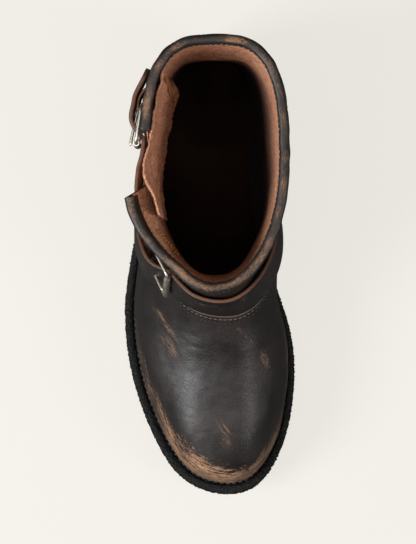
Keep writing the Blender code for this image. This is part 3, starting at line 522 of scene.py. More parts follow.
def thread_material(name, colour, dark):
    """Waxed thread: two plies twisted, so darker lines cross it at a slant, and a dull shine."""
    material, tree, shader = new_material(name)
    turns = {"Vector": object_place(tree), "Scale": 380.0, "Distortion": 1.0}
    ply = add_node(tree, "ShaderNodeTexWave", turns, bands_direction="DIAGONAL").outputs["Fac"]
    dress_shader(tree, shader, blend(tree, ply, dark, colour), {"Roughness": 0.62}, (ply, 0.5, 0.0001))
    return material


black_thread = thread_material("black_thread", linear(48, 46, 45), linear(12, 11, 11))
seam_t = np.linspace(0, 1, 1200)
seam_xy = sole_edge(seam_t, 0.68 * outline_at(seam_t)[:, 2] + 0.0004)
seam = np.column_stack([seam_xy, tread_top(outline_at(seam_t)[:, 1]) + WELT_LOW + 0.0024])
upward = np.tile([0.0, 0.0, 1.0], (len(seam), 1))
thread = {"pitch": 0.0042, "share": 0.86, "radius": 0.0007, "sink": -0.6}
stitch_row("welt_stitches", seam, upward, black_thread, slot="welt_leather", **thread)

# The insole: a tan leather board on the midsole, seen only at the bottom of the shaft and painted near black
# there as painted shade.
WALL = 0.0022

insole_board, tree, shader = new_material("insole_board")
mottle = scaled(tree, noise(tree, object_place(tree), 22.0, 5.0), 0.35, 0.65)
# Painted shade: both tones are near black, the colour of the shade at the bottom of the shaft.
shade = blend(tree, mottle, linear(12, 6, 4), linear(34, 20, 14))
dress_shader(tree, shader, shade, {"Roughness": 0.9, "Specular IOR Level": 0.06})


def bed(y):
    """Height on which the insole and the upper stand: the top of the midsole and a hair more."""
    return tread_top(y) + 0.00528


INSOLE_RINGS = ((1.0, 0.0003), (0.5, 0.0003), (0.0, 0.0003), (0.0, 0.0030))
INSOLE_RINGS += ((0.03, 0.0038), (0.25, 0.0036), (0.6, 0.0030), (1.0, 0.0029))
turn = np.linspace(0, 1, 360, endpoint=False)
edge_xy = sole_edge(turn, outline_at(turn)[:, 2] + WALL + 0.0012)
middle = np.interp(edge_xy[:, 1], spine_y, spine_x)
rings = []
for share, lift in INSOLE_RINGS:
    x = edge_xy[:, 0] + (middle - edge_xy[:, 0]) * share
    rings.append(np.column_stack([x, edge_xy[:, 1], bed(edge_xy[:, 1]) + lift]))
quads = grid_quads(len(rings), len(turn), round_columns=True)
insole = lay_mesh("insole_board", np.stack(rings), quads, insole_board, sharp=60.0)
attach(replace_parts(insole, "insole"), "root")

# The upper's form: rings from the feather line at the sole to the collar, each a blend of the foot's
# outline and the leg's round, with the slit on the outer side whose front flap turns out. A row says
# how far the front reaches to the toe (or back, below 0) and the back to the collar's, the shares of
# the foot's and the leg's half width, how high front and back have climbed, how much of the sole's
# curve is left, and how round the ring is.
COLLAR_HEIGHT, COLLAR_FRONT, COLLAR_BACK, HALF_COLLAR = 0.235, 0.0115, 0.134, 0.0413
THROAT, INSTEP_HEIGHT, COLLAR_DIP = 0.0295, 0.094, 0.004
LEG_FULLEST, BACK_ROUNDNESS, SIDE_SHIFT = 0.062, 3.0, 0.0026
SLIT_COLUMN, SLIT_SPAN, FLARE, FLARE_START, FLARE_REACH = 0.75, 0.080, 0.0105, 0.203, 0.13
THROAT_RING, SLIT_RING, LAST_RING = 9, 13, 16
VAMP_STEP = 0.0012
RINGS = (
    ("feather", 1.000, 0.00, 1.000, 0.00, 0.000, 0.000, 1.00, 0.00),
    ("welt top", 1.000, 0.00, 1.000, 0.00, 0.060, 0.024, 1.00, 0.00),
    ("side", 1.004, -0.24, 1.022, 0.00, 0.205, 0.050, 0.97, 0.00),
    ("toe wall", 0.975, -0.36, 0.995, 0.00, 0.385, 0.074, 0.90, 0.00),
    ("toe brow", 0.899, -0.36, 0.940, 0.00, 0.530, 0.096, 0.80, 0.00),
    ("toe top", 0.752, -0.32, 0.890, 0.00, 0.620, 0.116, 0.72, 0.00),
    ("vamp", 0.545, -0.27, 0.857, 0.00, 0.680, 0.136, 0.66, 0.00),
    ("waist", 0.330, -0.23, 0.850, 0.00, 0.745, 0.154, 0.60, 0.00),
    ("instep", 0.140, -0.14, 0.858, 0.00, 0.855, 0.172, 0.55, 0.04),
    ("throat", 0.000, -0.05, 0.868, 0.00, 1.000, 0.190, 0.48, 0.10),
    ("strap foot", -0.280, 0.10, 0.680, 0.185, 1.075, 0.280, 0.30, 0.25),
    ("bend", -0.570, 0.30, 0.420, 0.435, 1.160, 0.370, 0.15, 0.45),
    ("ankle", -0.730, 0.56, 0.230, 0.640, 1.275, 0.460, 0.05, 0.65),
    ("slit foot", -0.800, 0.76, 0.080, 0.830, 1.468, 0.610, 0.00, 0.87),
    ("leg", -0.850, 0.88, 0.010, 0.950, 1.650, 0.745, 0.00, 0.97),
    ("upper leg", -0.930, 0.95, 0.000, 0.980, 1.837, 0.880, 0.00, 1.00),
    ("collar", -1.000, 1.00, 0.000, 1.000, 2.000, 1.000, 0.00, 1.00),
)


def feather(t):
    """The line where the upper meets the welt."""
    return sole_edge(t, outline_at(t)[..., 2])


feather_all = feather(np.linspace(0, 1, 400))
TOE_Y, HEEL_Y = feather_all[:, 1].min(), feather_all[:, 1].max()
FOOT_CENTRE = (feather_all[:, 0].max() + feather_all[:, 0].min()) / 2
FOOT_HALF = (feather_all[:, 0].max() - feather_all[:, 0].min()) / 2
TOE_BED, HEEL_BED = bed(TOE_Y), bed(HEEL_Y)
ring_rows = []
for _, reach, back, foot, leg, climb, rise, sole, round_share in RINGS:
    front_y = -THROAT + max(reach, 0.0) * (TOE_Y + THROAT) + max(-reach, 0.0) * (THROAT - COLLAR_FRONT)
    front_z = TOE_BED + min(climb, 1.0) * (INSTEP_HEIGHT - TOE_BED)
    front_z += max(climb - 1.0, 0.0) * (COLLAR_HEIGHT - INSTEP_HEIGHT)
    back_y = HEEL_Y + back * (COLLAR_BACK - HEEL_Y)
    back_z = HEEL_BED + rise * (COLLAR_HEIGHT - COLLAR_DIP - HEEL_BED)
    half = foot * FOOT_HALF + leg * HALF_COLLAR
    centre = SIDE_SHIFT * round_share + FOOT_CENTRE * (1 - round_share)
    ring_rows.append((front_y, back_y, half, centre, front_z, back_z, sole, round_share))
ring_at = spline(ring_rows)
level_steps = np.linspace(0, LAST_RING, 1601)
front_heights = ring_at(level_steps)[:, 4]


def level_of(height):
    """The level at which the boot's front reaches a height."""
    return np.interp(height, front_heights, level_steps)


def base_point(t, level):
    """The bare skin: t runs round from the toe over the inner side, level counts the rings up."""
    t, level = np.broadcast_arrays(np.asarray(t, float), np.asarray(level, float))
    front, back, half, centre, front_z, back_z, sole, leg = np.moveaxis(ring_at(level), -1, 0)
    foot = feather(t)
    foot_share = (foot[..., 1] - TOE_Y) / (HEEL_Y - TOE_Y)
    foot_x = centre + (foot[..., 0] - FOOT_CENTRE) / FOOT_HALF * half
    foot_y = front + foot_share * (back - front)
    turn = np.cos(2 * np.pi * t)
    fullest = (LEG_FULLEST + COLLAR_FRONT) / (COLLAR_BACK + COLLAR_FRONT)
    leg_share = np.where(turn > 0, fullest * (1 - turn), fullest - (1 - fullest) * turn)
    power = np.where(turn > 0, 2.0, BACK_ROUNDNESS)
    bulge = np.clip(1 - np.abs(turn) ** power, 0.0, None) ** (1 / power)
    leg_x = centre + half * bulge * np.sign(np.sin(2 * np.pi * t))
    leg_y = front + leg_share * (back - front)
    along = foot_share + leg * (leg_share - foot_share)
    straight = TOE_BED + (HEEL_BED - TOE_BED) * foot_share
    z = front_z + (back_z - front_z) * along + sole * (bed(foot[..., 1]) - straight)
    return np.stack([foot_x + leg * (leg_x - foot_x), foot_y + leg * (leg_y - foot_y), z], axis=-1)


def skin_normal(t, level):
    """The outward direction of the bare skin: the cross product of its two slopes."""
    t, level = np.broadcast_arrays(np.asarray(t, float), np.asarray(level, float))
    around = base_point(t + 2e-3, level) - base_point(t - 2e-3, level)
    upward = base_point(t, np.minimum(level + 0.03, LAST_RING)) - base_point(t, np.maximum(level - 0.03, 0))
    normal = np.cross(around, upward)
    return normal / np.linalg.norm(normal, axis=-1, keepdims=True)


def flare(t, level):
    """How far the front flap of the slit turns out at its free corner."""
    from_edge = np.mod(t - SLIT_COLUMN - SLIT_SPAN / 2 + 0.5, 1.0) - 0.5
    near = (1 - ease(from_edge / FLARE_REACH)) * (from_edge > -SLIT_SPAN / 2)
    rise = np.clip((ring_at(level)[..., 4] - FLARE_START) / (COLLAR_HEIGHT - FLARE_START), 0.0, None)
    return FLARE * rise**1.5 * near


def skin(t, level, out=0.0, flared=False):
    """The skin moved out along its own direction, with the flap's flare where it is asked for."""
    t, level, out = np.broadcast_arrays(*(np.asarray(value, float) for value in (t, level, out)))
    if flared:
        out = out + flare(t, level)
    return base_point(t, level) + skin_normal(t, level) * out[..., None]


def column_turn(column, level):
    """t of a column, which runs from 0 at the flap's edge of the slit round the toe to 1 at its rear edge."""
    column, level = np.broadcast_arrays(np.asarray(column, float), np.asarray(level, float))
    span = SLIT_SPAN * np.clip((level - SLIT_RING) / (LAST_RING - SLIT_RING), 0.0, 1.0) / 2
    return SLIT_COLUMN + column + span * (np.clip(1 - 4 * column, 0, 1) - np.clip(4 * column - 3, 0, 1))


def waves(points, seed, size, count=24):
    """Smooth noise at points: the mean of sine waves in seeded directions, their length about size."""
    dice = np.random.default_rng(seed)
    ways = dice.normal(size=(count, 3))
    reach = np.linalg.norm(ways, axis=1, keepdims=True)
    ways *= (2 * np.pi / size) / reach * dice.uniform(0.6, 1.6, (count, 1))
    return np.sin(points @ ways.T + dice.uniform(0, 2 * np.pi, count)).sum(axis=-1) / math.sqrt(count / 2)


# The leather of the upper: black pull-up cowhide, dyed on top of a brown hide. It shines softly where it is
# stretched, turns grey-brown where it is handled and, as painted light, most on faces that turn up towards
# the lamps, is darkened in its creases as painted shade, and shows the bare brown hide at rubs and cut edges.
inputs = (("Black", "Handled_and_top_lit", "Bare"), ("Handling_and_top_light", "Rub", "Scuff", "Raw", "Crease_and_shade"))
hide, given, made = new_group("worn_hide_with_painted_light", *inputs, ("Roughness", "Height"))
place = object_place(hide)
cloud = noise(hide, place, 34.0, 8.0, 0.6)
fleck = noise(hide, place, 900.0, 6.0, 0.7)
slant = {"Vector": place, "Rotation": (0.0, 0.0, -0.92), "Scale": (0.012, 0.00034, 0.003)}
slanted = add_node(hide, "ShaderNodeMapping", slant, vector_type="TEXTURE").outputs["Vector"]
streak = noise(hide, slanted, 1.0, 4.0)
grain = add_node(hide, "ShaderNodeAttribute", attribute_name="grain").outputs["Vector"]
brushed = noise(hide, grain, 1.0, 5.0, 0.65, 0.5)
across = {"Vector": place, "Scale": (130.0, 620.0, 420.0)}
across = add_node(hide, "ShaderNodeMapping", across).outputs["Vector"]
wrinkle = noise(hide, across, 1.0, 3.0, 0.5, 1.4)
pebble = {"Vector": place, "Scale": 900.0, "Randomness": 1.0}
pebble = add_node(hide, "ShaderNodeTexVoronoi", pebble, feature="SMOOTH_F1").outputs["Distance"]
pore = {"Vector": place, "Scale": 620.0}
pore = add_node(hide, "ShaderNodeTexVoronoi", pore, feature="DISTANCE_TO_EDGE").outputs["Distance"]
# Painted light: the handled grey-brown is weighed by how far a face turns up, so tops read lighter and sides
# darker, as if lit from above.
facing = add_node(hide, "ShaderNodeNewGeometry").outputs["Normal"]
facing_up = add_node(hide, "ShaderNodeSeparateXYZ", {0: facing}).outputs["Z"]
handled_and_top_light = maths(hide, "MULTIPLY", scaled(hide, cloud, 0.34, 0.66), given["Handling_and_top_light"])
handled_and_top_light = maths(hide, "MULTIPLY", handled_and_top_light, scaled(hide, facing_up, 0.35, 0.95, 0.12, 1.0))
handled_and_top_light = maths(hide, "MULTIPLY", handled_and_top_light, scaled(hide, fleck, 0.30, 0.62, 0.45, 1.0), True)
tone = blend(hide, handled_and_top_light, given["Black"], given["Handled_and_top_lit"])
ragged = weighed(hide, (fleck, 0.45), (brushed, 0.55))
ragged = maths(hide, "ADD", ragged, scaled(hide, cloud, 0.3, 0.7, -0.05, 0.05))
rubbed = maths(hide, "ADD", ragged, scaled(hide, given["Rub"], 0.0, 1.0, -0.22, 0.22))
rubbed = scaled(hide, rubbed, 0.45, 0.60, 0.0, 0.92)
scuffed = weighed(hide, (streak, 0.75), (fleck, 0.25))
scuffed = maths(hide, "ADD", scuffed, scaled(hide, given["Scuff"], 0.0, 1.0, -0.22, 0.16))
scuffed = scaled(hide, scuffed, 0.48, 0.61, 0.0, 0.44)
bared = maths(hide, "MAXIMUM", maths(hide, "MAXIMUM", rubbed, given["Raw"]), scuffed, True)
tone = blend(hide, bared, tone, given["Bare"])
# Painted shade: the colour darkens by up to 45% where the crease mask is full.
painted_crease_shade = scaled(hide, given["Crease_and_shade"], 0.0, 1.0, 1.0, 0.55)
tone = add_node(hide, "ShaderNodeVectorMath", {0: tone, "Scale": painted_crease_shade}, operation="SCALE")
hide.links.new(tone.outputs["Vector"], made["Color"])
shine = maths(hide, "ADD", scaled(hide, fleck, 0.3, 0.7, 0.36, 0.48), maths(hide, "MULTIPLY", bared, 0.25))
hide.links.new(maths(hide, "ADD", shine, maths(hide, "MULTIPLY", handled_and_top_light, 0.06)), made["Roughness"])
pore = scaled(hide, pore, 0.0, 0.12)
relief = weighed(hide, (pore, 0.55), (pebble, 0.5), (wrinkle, 1.7), (fleck, 0.5))
hide.links.new(relief, made["Height"])


def leather(name, black, handled_and_top_lit_tone, bare, handling_and_top_light, bump=0.2, masks=("rub", "scuff", "raw", "crease_and_shade")):
    """A leather of the boot: the worn hide, with its painted top light and painted crease shade, in its own
    colours, fed by the piece's masks.
    """
    material, tree, shader = new_material(name)
    tones = {"Black": black, "Handled_and_top_lit": handled_and_top_lit_tone, "Bare": bare, "Handling_and_top_light": handling_and_top_light}
    worn = add_node(tree, "ShaderNodeGroup", tones, node_tree=hide)
    for mask in masks:
        reading = add_node(tree, "ShaderNodeAttribute", attribute_name=mask)
        tree.links.new(reading.outputs["Fac"], worn.inputs[mask.capitalize()])
    tree.links.new(worn.outputs["Roughness"], shader.inputs["Roughness"])
    relief = (worn.outputs["Height"], bump, 0.00035)
    dress_shader(tree, shader, worn.outputs["Color"], {"Specular IOR Level": 0.36}, relief)
    return material


def round_grain(t, across):
    """Where the brushed noise is read on a ring: it turns with t, in long streaks, and crosses them fast."""
    turn, across = 2 * np.pi * np.asarray(t, float), np.asarray(across, float)
    return np.stack(np.broadcast_arrays(9.0 * np.cos(turn), 9.0 * np.sin(turn), across), axis=-1)


# The second colour is the handled grey-brown, which also serves as painted light on faces that turn up.
upper_leather = leather("upper_leather", linear(21, 19, 18), linear(54, 46, 44), linear(176, 136, 106), 0.9)

# The vamp and the shaft: the vamp lies over the shaft and ends in a raw brown edge in front of the instep
# strap. Both are creased where the foot bends, with painted shade darkening the creases, and the toe is
# rubbed brown at its brow.


CREASE_LEAST = (-0.110, 0.0, 0.005, 0.00002, 0.0005)
CREASE_MOST = (-0.034, 0.006, 0.022, 0.00010, 0.0011)
ANKLE_FOLDS = ((10.7, 0.5, 0.0011), (11.6, -0.4, 0.0014), (12.5, 0.6, 0.0010), (13.6, -0.5, 0.0007))


def dents(points, t, level):
    """How far wear moves the leather out: troughs across the vamp, folds round the ankle, a slow wave; and
    how deep each point lies in a trough or fold, the mask of painted shade in the creases.
    """
    x, y = points[..., 0], points[..., 1]
    dice = np.random.default_rng(5)
    out = 0.00022 * waves(points, 3, 0.034) + 0.00004 * waves(points, 4, 0.010)
    front = np.cos(2 * np.pi * t) > -0.3
    crease_and_shade = 0 * x
    for _ in range(70):
        middle, bow, half, deep, wide = dice.uniform(CREASE_LEAST, CREASE_MOST)
        centre = dice.uniform(-0.03, 0.04)
        line = middle + bow * ((x - 0.008) / 0.03) ** 2 + 0.0015 * np.sin(x * 260 + middle * 900)
        crease_and_shade += deep * np.exp(-(((y - line) / wide) ** 2)) * np.exp(-(((x - centre) / half) ** 2))
    shown = front * ease((level - 2.5) / 2) * ease((9.2 - level) / 1.5)
    out = out - crease_and_shade * shown
    folds = 0 * x
    for centre, lean, deep in ANKLE_FOLDS:
        away = level - centre - lean * np.sin(2 * np.pi * (t + 0.1 * centre))
        folds += deep * np.exp(-((away / 0.22) ** 2))
    folds *= 0.55 + 0.45 * np.sin(2 * np.pi * 2 * t + level)
    out = (out - folds * ease((level - 10) / 0.6)) * ease(level / 1.5) * ease((16.2 - level) / 1.2)
    return out, np.clip(crease_and_shade * shown / 0.0005 + folds / 0.0025, 0, 1)


# A scuff: x, y, half its length, half its width, its slant in degrees and its strength.
RUBS = (
    (-0.0285, -0.0360, 0.017, 0.0028, -58, 0.62), (-0.0265, -0.0490, 0.013, 0.0046, -60, 0.60),
    (0.0355, -0.0580, 0.008, 0.0038, -66, 0.68), (0.0225, -0.0420, 0.010, 0.0012, -44, 0.62),
    (0.0095, -0.1070, 0.012, 0.0058, -76, 0.52), (-0.0150, -0.1040, 0.010, 0.0020, -48, 0.30),
)
BROW_TURNS = (-0.26, -0.20, -0.14, -0.09, -0.03, 0.04, 0.09, 0.15, 0.22, 0.27)
BROW_RUB = (0.0, 0.22, 0.35, 0.52, 0.54, 0.53, 0.45, 0.40, 0.27, 0.0)


def rubs(points, t, level):
    """The two wear masks: brown rub round the toe's brow, and long scuffs as ellipses seen from above."""
    scuff = 0 * points[..., 0]
    for x, y, long, wide, degrees, amount in RUBS:
        aim = math.radians(degrees)
        along = (points[..., 0] - x) * math.cos(aim) + (points[..., 1] - y) * math.sin(aim)
        beside = (points[..., 1] - y) * math.cos(aim) - (points[..., 0] - x) * math.sin(aim)
        scuff = np.maximum(scuff, amount * np.exp(-((along / long) ** 4) - (beside / wide) ** 2))
    turn = np.mod(t + 0.5, 1.0) - 0.5
    top = 3.1 + 1.2 * np.exp(-(((turn + 0.06) / 0.13) ** 2))
    brow = np.interp(turn, BROW_TURNS, BROW_RUB) * ease((level - 0.5) / 1.2) * ease((top + 0.9 - level) / 1.5)
    return brow, scuff * (level < 9.5)


def slit_quads(levels, columns):
    """Quads of a grid whose first and last columns are one below the slit's foot and part above it."""
    number = np.arange(len(levels) * columns).reshape(len(levels), columns)
    joined = int(np.flatnonzero(levels <= SLIT_RING)[-1])
    number[: joined + 1, -1] = number[: joined + 1, 0]
    return np.stack([number[:-1, :-1], number[:-1, 1:], number[1:, 1:], number[1:, :-1]], axis=-1)


def add_wall(piece, thickness):
    """Thickens an open skin inwards."""
    wall = piece.modifiers.new("wall", "SOLIDIFY")
    wall.thickness, wall.offset = thickness, -1.0


def dressed(name, columns, levels, step, raw_top=None, slit=False):
    """A panel of the upper on a grid of columns and levels, with a raw edge at the level raw_top."""
    level, column = np.meshgrid(levels, columns, indexing="ij")
    t = column_turn(column, level) if slit else column
    worn, crease_and_shade = dents(base_point(t, level), t, level)
    points = skin(t, level, worn + step(t, level), flared=True)
    quads = slit_quads(levels, len(columns)) if slit else grid_quads(*level.shape, round_columns=True)
    raw = 0 * level if raw_top is None else 0.22 * np.exp(-(((level - raw_top) / 0.03) ** 2))
    rub, scuff = rubs(points, t, level)
    # The crease mask carries the painted shade in the troughs and folds.
    masks = {"rub": rub, "scuff": scuff, "raw": raw, "crease_and_shade": crease_and_shade}
    grain = round_grain(t, 13.0 * level)
    piece = lay_mesh(name, points, quads, upper_leather, masks=masks, grain=grain, sharp=70.0)
    add_wall(piece, 0.0012)
    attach(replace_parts(piece, "upper"), "root")


def vamp_rise(t, level):
    """The vamp lies over the shaft all round but at the heel, and starts flush with it at the sole."""
    return VAMP_STEP * ease((np.abs(np.mod(t, 1.0) - 0.5) - 0.15) / 0.05) * ease(level / 2) + 0.0001


def shaft_tuck(t, level):
    """The shaft's lower edge is tucked in under the vamp."""
    return -0.0006 * ease((9.05 - level) / 0.1)


vamp_levels = np.concatenate([np.linspace(0, 8.9, 146), [8.94, 8.97, 9.0]])
dressed("vamp", np.linspace(0, 1, 316, endpoint=False), vamp_levels, vamp_rise, raw_top=9.0)
shaft_levels = np.concatenate([np.linspace(8.5, 15.2, 110), np.linspace(15.3, 16, 12)])
dressed("shaft", np.linspace(0, 1, 330), shaft_levels, shaft_tuck, slit=True)

# The lining: brown suede split, sewn in flesh side out, painted darker towards the foot as painted shade deep
# in the shaft. The gusset behind the slit is the same suede, cut with a raw and furry edge.
suede, tree, shader = new_material("suede")
place = object_place(tree)
nap, brush = noise(tree, place, 560.0, 5.0, 0.75), noise(tree, place, 160.0, 6.0, 0.7, 0.8)
mixed = maths(tree, "ADD", scaled(tree, brush, 0.3, 0.7, 0.0, 0.35), scaled(tree, nap, 0.36, 0.64, 0.0, 0.65))
# Painted shade: the suede darkens to near black with the deep mask, standing in for the shade low in the
# shaft.
painted_depth_shade = add_node(tree, "ShaderNodeAttribute", attribute_name="deep").outputs["Fac"]
shade = blend(tree, painted_depth_shade, blend(tree, mixed, linear(158, 90, 62), linear(255, 194, 154)), linear(26, 14, 9))
values = {"Roughness": 0.92, "Sheen Weight": 0.04, "Specular IOR Level": 0.1}
dress_shader(tree, shader, shade, values, (mixed, 0.9, 0.0016))


def lining_depth(t, level):
    """How far off the skin the lining hangs: tight at the collar, loose below it in front and behind."""
    z, turn = base_point(t, level)[..., 2], np.abs(np.mod(t + 0.5, 1.0) - 0.5)
    loose = 0.0015 + 0.0065 * np.exp(-((turn / 0.13) ** 2)) + 0.0050 * np.exp(-(((turn - 0.5) / 0.10) ** 2))
    return 0.0016 + loose * ease((COLLAR_HEIGHT - 0.010 - z) / 0.05) * ease((z - 0.10) / 0.05)


lining_levels = np.linspace(0.3, float(level_of(COLLAR_HEIGHT - 0.0025)), 90)
level, column = np.meshgrid(lining_levels, np.linspace(0, 1, 260), indexing="ij")
t = column_turn(column, level)
points = skin(t, level, dents(base_point(t, level), t, level)[0] - lining_depth(t, level), flared=True)
# The deep mask: painted shade that grows from 0.214 m downwards over 75 mm.
deep = ease((0.214 - points[..., 2]) / 0.075)
lining = lay_mesh("lining", points, slit_quads(lining_levels, level.shape[1]), suede, masks={"deep": deep})
add_wall(lining, 0.0007)
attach(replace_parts(lining, "upper"), "root")


def panel(name, t, level, out, thick, material, cad, slot, raw=1.0):
    """A panel laid on the skin: an outer grid whose rim is rounded off, and its thickness inwards."""
    down, across = np.arange(level.shape[0])[:, None], np.arange(level.shape[1])[None, :]
    rim = np.minimum(np.minimum(down, down[::-1]), np.minimum(across, across[:, ::-1])) == 0
    round_edge = 0.0004
    points = skin(t, level, out + thick - round_edge * rim)
    masks = {"raw": 0.85 * raw * rim}
    piece = lay_mesh(name, points, grid_quads(*level.shape), material, masks=masks, sharp=60.0)
    add_wall(piece, thick - round_edge)
    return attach(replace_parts(piece, cad), "root")


def gusset_inset(t, height):
    """How far inside the skin the gusset stands: it bulges through the slit and leans in behind it."""
    bulge = 0.0056 * np.exp(-(((t - 0.757) / 0.034) ** 2)) * ease((height - 0.180) / 0.055)
    lean = 0.066 * (0.233 - height) * ease((0.80 - t) / 0.19) * ease((t - 0.604) / 0.03)
    return 0.0034 + 0.0013 * ease((t - 0.61) / 0.03) + lean - bulge


gusset_t, gusset_height = np.meshgrid(np.linspace(0.610, 0.822, 110), np.linspace(0.150, 0.233, 60))
ripple = 0.0004 * waves(base_point(gusset_t, level_of(gusset_height)), 12, 0.016)
fuzz = 0.00022 * waves(base_point(gusset_t, level_of(gusset_height)), 13, 0.0035)
inset = gusset_inset(gusset_t, gusset_height) + ripple + fuzz
panel("gusset_suede", gusset_t, level_of(gusset_height), -inset - 0.0015, 0.0015, suede, "gusset", "suede")

# The heel cover and the back strip: a second layer over the heel and up the back seam. Their cut
# edges show, and rows of black stitches hold them.


def cover_top(t):
    """The level of the heel cover's upper edge: highest at the back seam, falling to both sides."""
    return THROAT_RING + 2.2 - 3.4 * (np.abs(t - 0.5) / 0.185) ** 2.5


COVER_FOOT = 1.25
cover_t = np.linspace(0.315, 0.685, 170)
cover_level = COVER_FOOT + (cover_top(cover_t) - COVER_FOOT)[None, :] * np.linspace(0, 1, 70)[:, None]
cover_t = np.broadcast_to(cover_t, cover_level.shape)
off_skin = 0.0009 + 0.0001 * waves(base_point(cover_t, cover_level), 6, 0.02)
OVERLAY = 0.0018
made_of = (OVERLAY, upper_leather)
panel("heel_cover", cover_t, cover_level, off_skin, *made_of, "heel_counter", "upper_leather", raw=0.25)
strip_top = float(level_of(COLLAR_HEIGHT - 0.011))
strip_level, strip_t = np.linspace(11.3, strip_top, 90), np.linspace(0.481, 0.519, 16)
strip_level, strip_t = np.meshgrid(strip_level, strip_t, indexing="ij")
panel("back_strip_leather", strip_t, strip_level, 0.0006, *made_of, "back_strip", "upper_leather", raw=0.25)


def seam_on(name, t, level, out, material=black_thread, flared=False, **sizes):
    """A row of stitches along a line given by t, level and height off the skin."""
    t, level = np.broadcast_arrays(np.asarray(t, float), np.asarray(level, float))
    line, facing = skin(t, level, out, flared), skin_normal(t, level)
    return stitch_row(name, line, facing, material, slot="upper_leather", **sizes)


for row, drop in enumerate((0.22, 0.42)):
    line = np.linspace(0.318, 0.682, 300)
    seam_on(f"cover_stitches_{row + 1}", line, cover_top(line) - drop, 0.0029)
for row, t in enumerate((0.4835, 0.5165)):
    seam_on(f"strip_stitches_{row + 1}", t, np.linspace(11.4, strip_top - 0.05, 200), 0.0026)
pale_thread = thread_material("pale_thread", linear(112, 104, 98), linear(60, 54, 50))
line = np.linspace(0.80, 1.20, 400)
seam_on("vamp_stitches_1", line, 8.84, VAMP_STEP + 0.0002, pale_thread)
seam_on("vamp_stitches_2", line, 8.66, VAMP_STEP + 0.0002)

# The collar band: thin leather folded over the rim, 7 mm down outside and 5 mm down inside, its
# fold handled until the brown hide shows.
# The second tone is the handled grey-brown, laid on upward faces as painted light.
tones = (linear(20, 18, 17), linear(66, 54, 47), linear(134, 99, 74))
collar_leather = leather("collar_leather", *tones, 0.8, bump=0.3, masks=("rub",))
drops = (0.0048, 0.0032, 0.0016, 0.007, 0.0)
foot, inner, near, hem, edge = (float(level_of(COLLAR_HEIGHT - drop)) for drop in drops)
section = [(0.0006, hem, 0.0, 0.2), (0.0018, hem + 0.02, 0.0, 0.1), (0.0020, (hem + edge) / 2, 0.0, 0.1)]
for a in np.linspace(0, np.pi, 9):
    worn = 0.18 + 0.27 * math.sin(a) ** 2 * (math.cos(a) > -0.6)
    section.append((-0.0010 + 0.0030 * math.cos(a), edge, 0.0020 * math.sin(a), worn))
section += [(-0.0038, near, 0.0, 0.0), (-0.0037, inner, 0.0, 0.0), (-0.0037, (inner + foot) / 2, 0.0, 0.0)]
section += [(-0.0036, foot, 0.0, 0.15), (-0.0027, foot, 0.0, 0.2), (-0.0027, inner, 0.0, 0.0)]
section += [(-0.0025, edge, 0.0, 0.0), (0.0004, edge, 0.0, 0.0)]
columns = np.linspace(0.002, 0.998, 700)
rows = []
for out, level, rise, _ in section:
    t = column_turn(columns, level)
    ripple = 0.00012 * waves(base_point(t, level), 8, 0.012)
    points = skin(t, level, out + ripple, flared=True)
    points[:, 2] += rise
    rows.append(points)
rings = np.stack(rows, axis=1)
worn = np.array([row[3] for row in section]) * (1 + 0.25 * waves(rings, 31, 0.02))
worn[:3] = worn[-3:] = 0.4
grain = 2.2 * round_grain(columns[:, None], np.arange(len(section)) * 1.3)


def end_fans(rows, count):
    """Quads that close the first and the last ring of a tube, fanned from the ring's first point."""
    fans = []
    for k in range(1, count - 2, 2):
        fans.append([k + 2, k + 1, k, 0])
    last = (rows - 1) * count
    return np.array(fans + [[last + corner for corner in fan[::-1]] for fan in fans])


around = grid_quads(len(columns), len(section), round_columns=True)
quads = np.concatenate([around[:, ::-1], end_fans(len(columns), len(section))])
band = lay_mesh("collar_binding", rings, quads, collar_leather, masks={"rub": worn}, grain=grain)
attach(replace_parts(band, "collar_band"), "root")
line = hem + 0.12
seam_on("collar_stitches", column_turn(np.linspace(0.004, 0.996, 900), line), line, 0.0021, flared=True)
ochre_thread = thread_material("ochre_thread", linear(176, 128, 62), linear(112, 74, 34))
tack = {"pitch": 0.0036, "radius": 0.0008}
for row in range(3):
    run = np.linspace(0.0, 1.0, 60)
    t, z = 0.652 - 0.034 * run, 0.166 + 0.052 * run + 0.0022 * row
    depth = gusset_inset(t, z) + 0.0018
    seam_on(f"tack_stitches_{row + 1}", t, level_of(z), -depth, (ochre_thread, black_thread)[row % 2], **tack)
    t, z = 0.838 + 0.046 * run, 0.219 - 0.030 * run - 0.0022 * row
    depth = lining_depth(t, level_of(z)) + 0.0009
    seam_on(f"flap_stitches_{row + 1}", t, level_of(z), -depth, ochre_thread, flared=True, **tack)
line = foot + 0.06
seam_on("lining_stitches", column_turn(np.linspace(0.01, 0.99, 900), line), line, -0.0037, flared=True)

# The two straps: thick black bridle leather, dyed on its face only, so each cut edge shows raw brown.
# The instep strap holds the ankle, the top strap closes the slit, and both pass under a roller.
SEAT, STRAP, CHAPE, GAP = 0.0006, 0.0024, 0.0015, 0.0003
BAR, ROLLER, PRONG = 0.0011, 0.0022, 0.0010
TOP_STRAP_HEIGHT, INSTEP_STRAP_HEIGHT, INSTEP_SLOPE = 0.203, 0.111, math.radians(24)
TOP_WIDTH, INSTEP_WIDTH = 0.020, 0.026
TOP_ROLLER, TOP_LENGTH, INSTEP_ROLLER, INSTEP_LENGTH = -0.0125, 0.021, 0.034, 0.027

# The second tone is the handled grey-brown, laid on upward faces as painted light.
tones = (linear(24, 22, 21), linear(70, 62, 57), linear(136, 88, 60))
strap_leather = leather("strap_leather", *tones, 0.9, bump=0.25, masks=("rub", "raw"))


def running_length(line):
    """Length travelled along a line at each of its points."""
    return np.concatenate([[0.0], np.cumsum(np.linalg.norm(np.diff(line, axis=0), axis=1))])


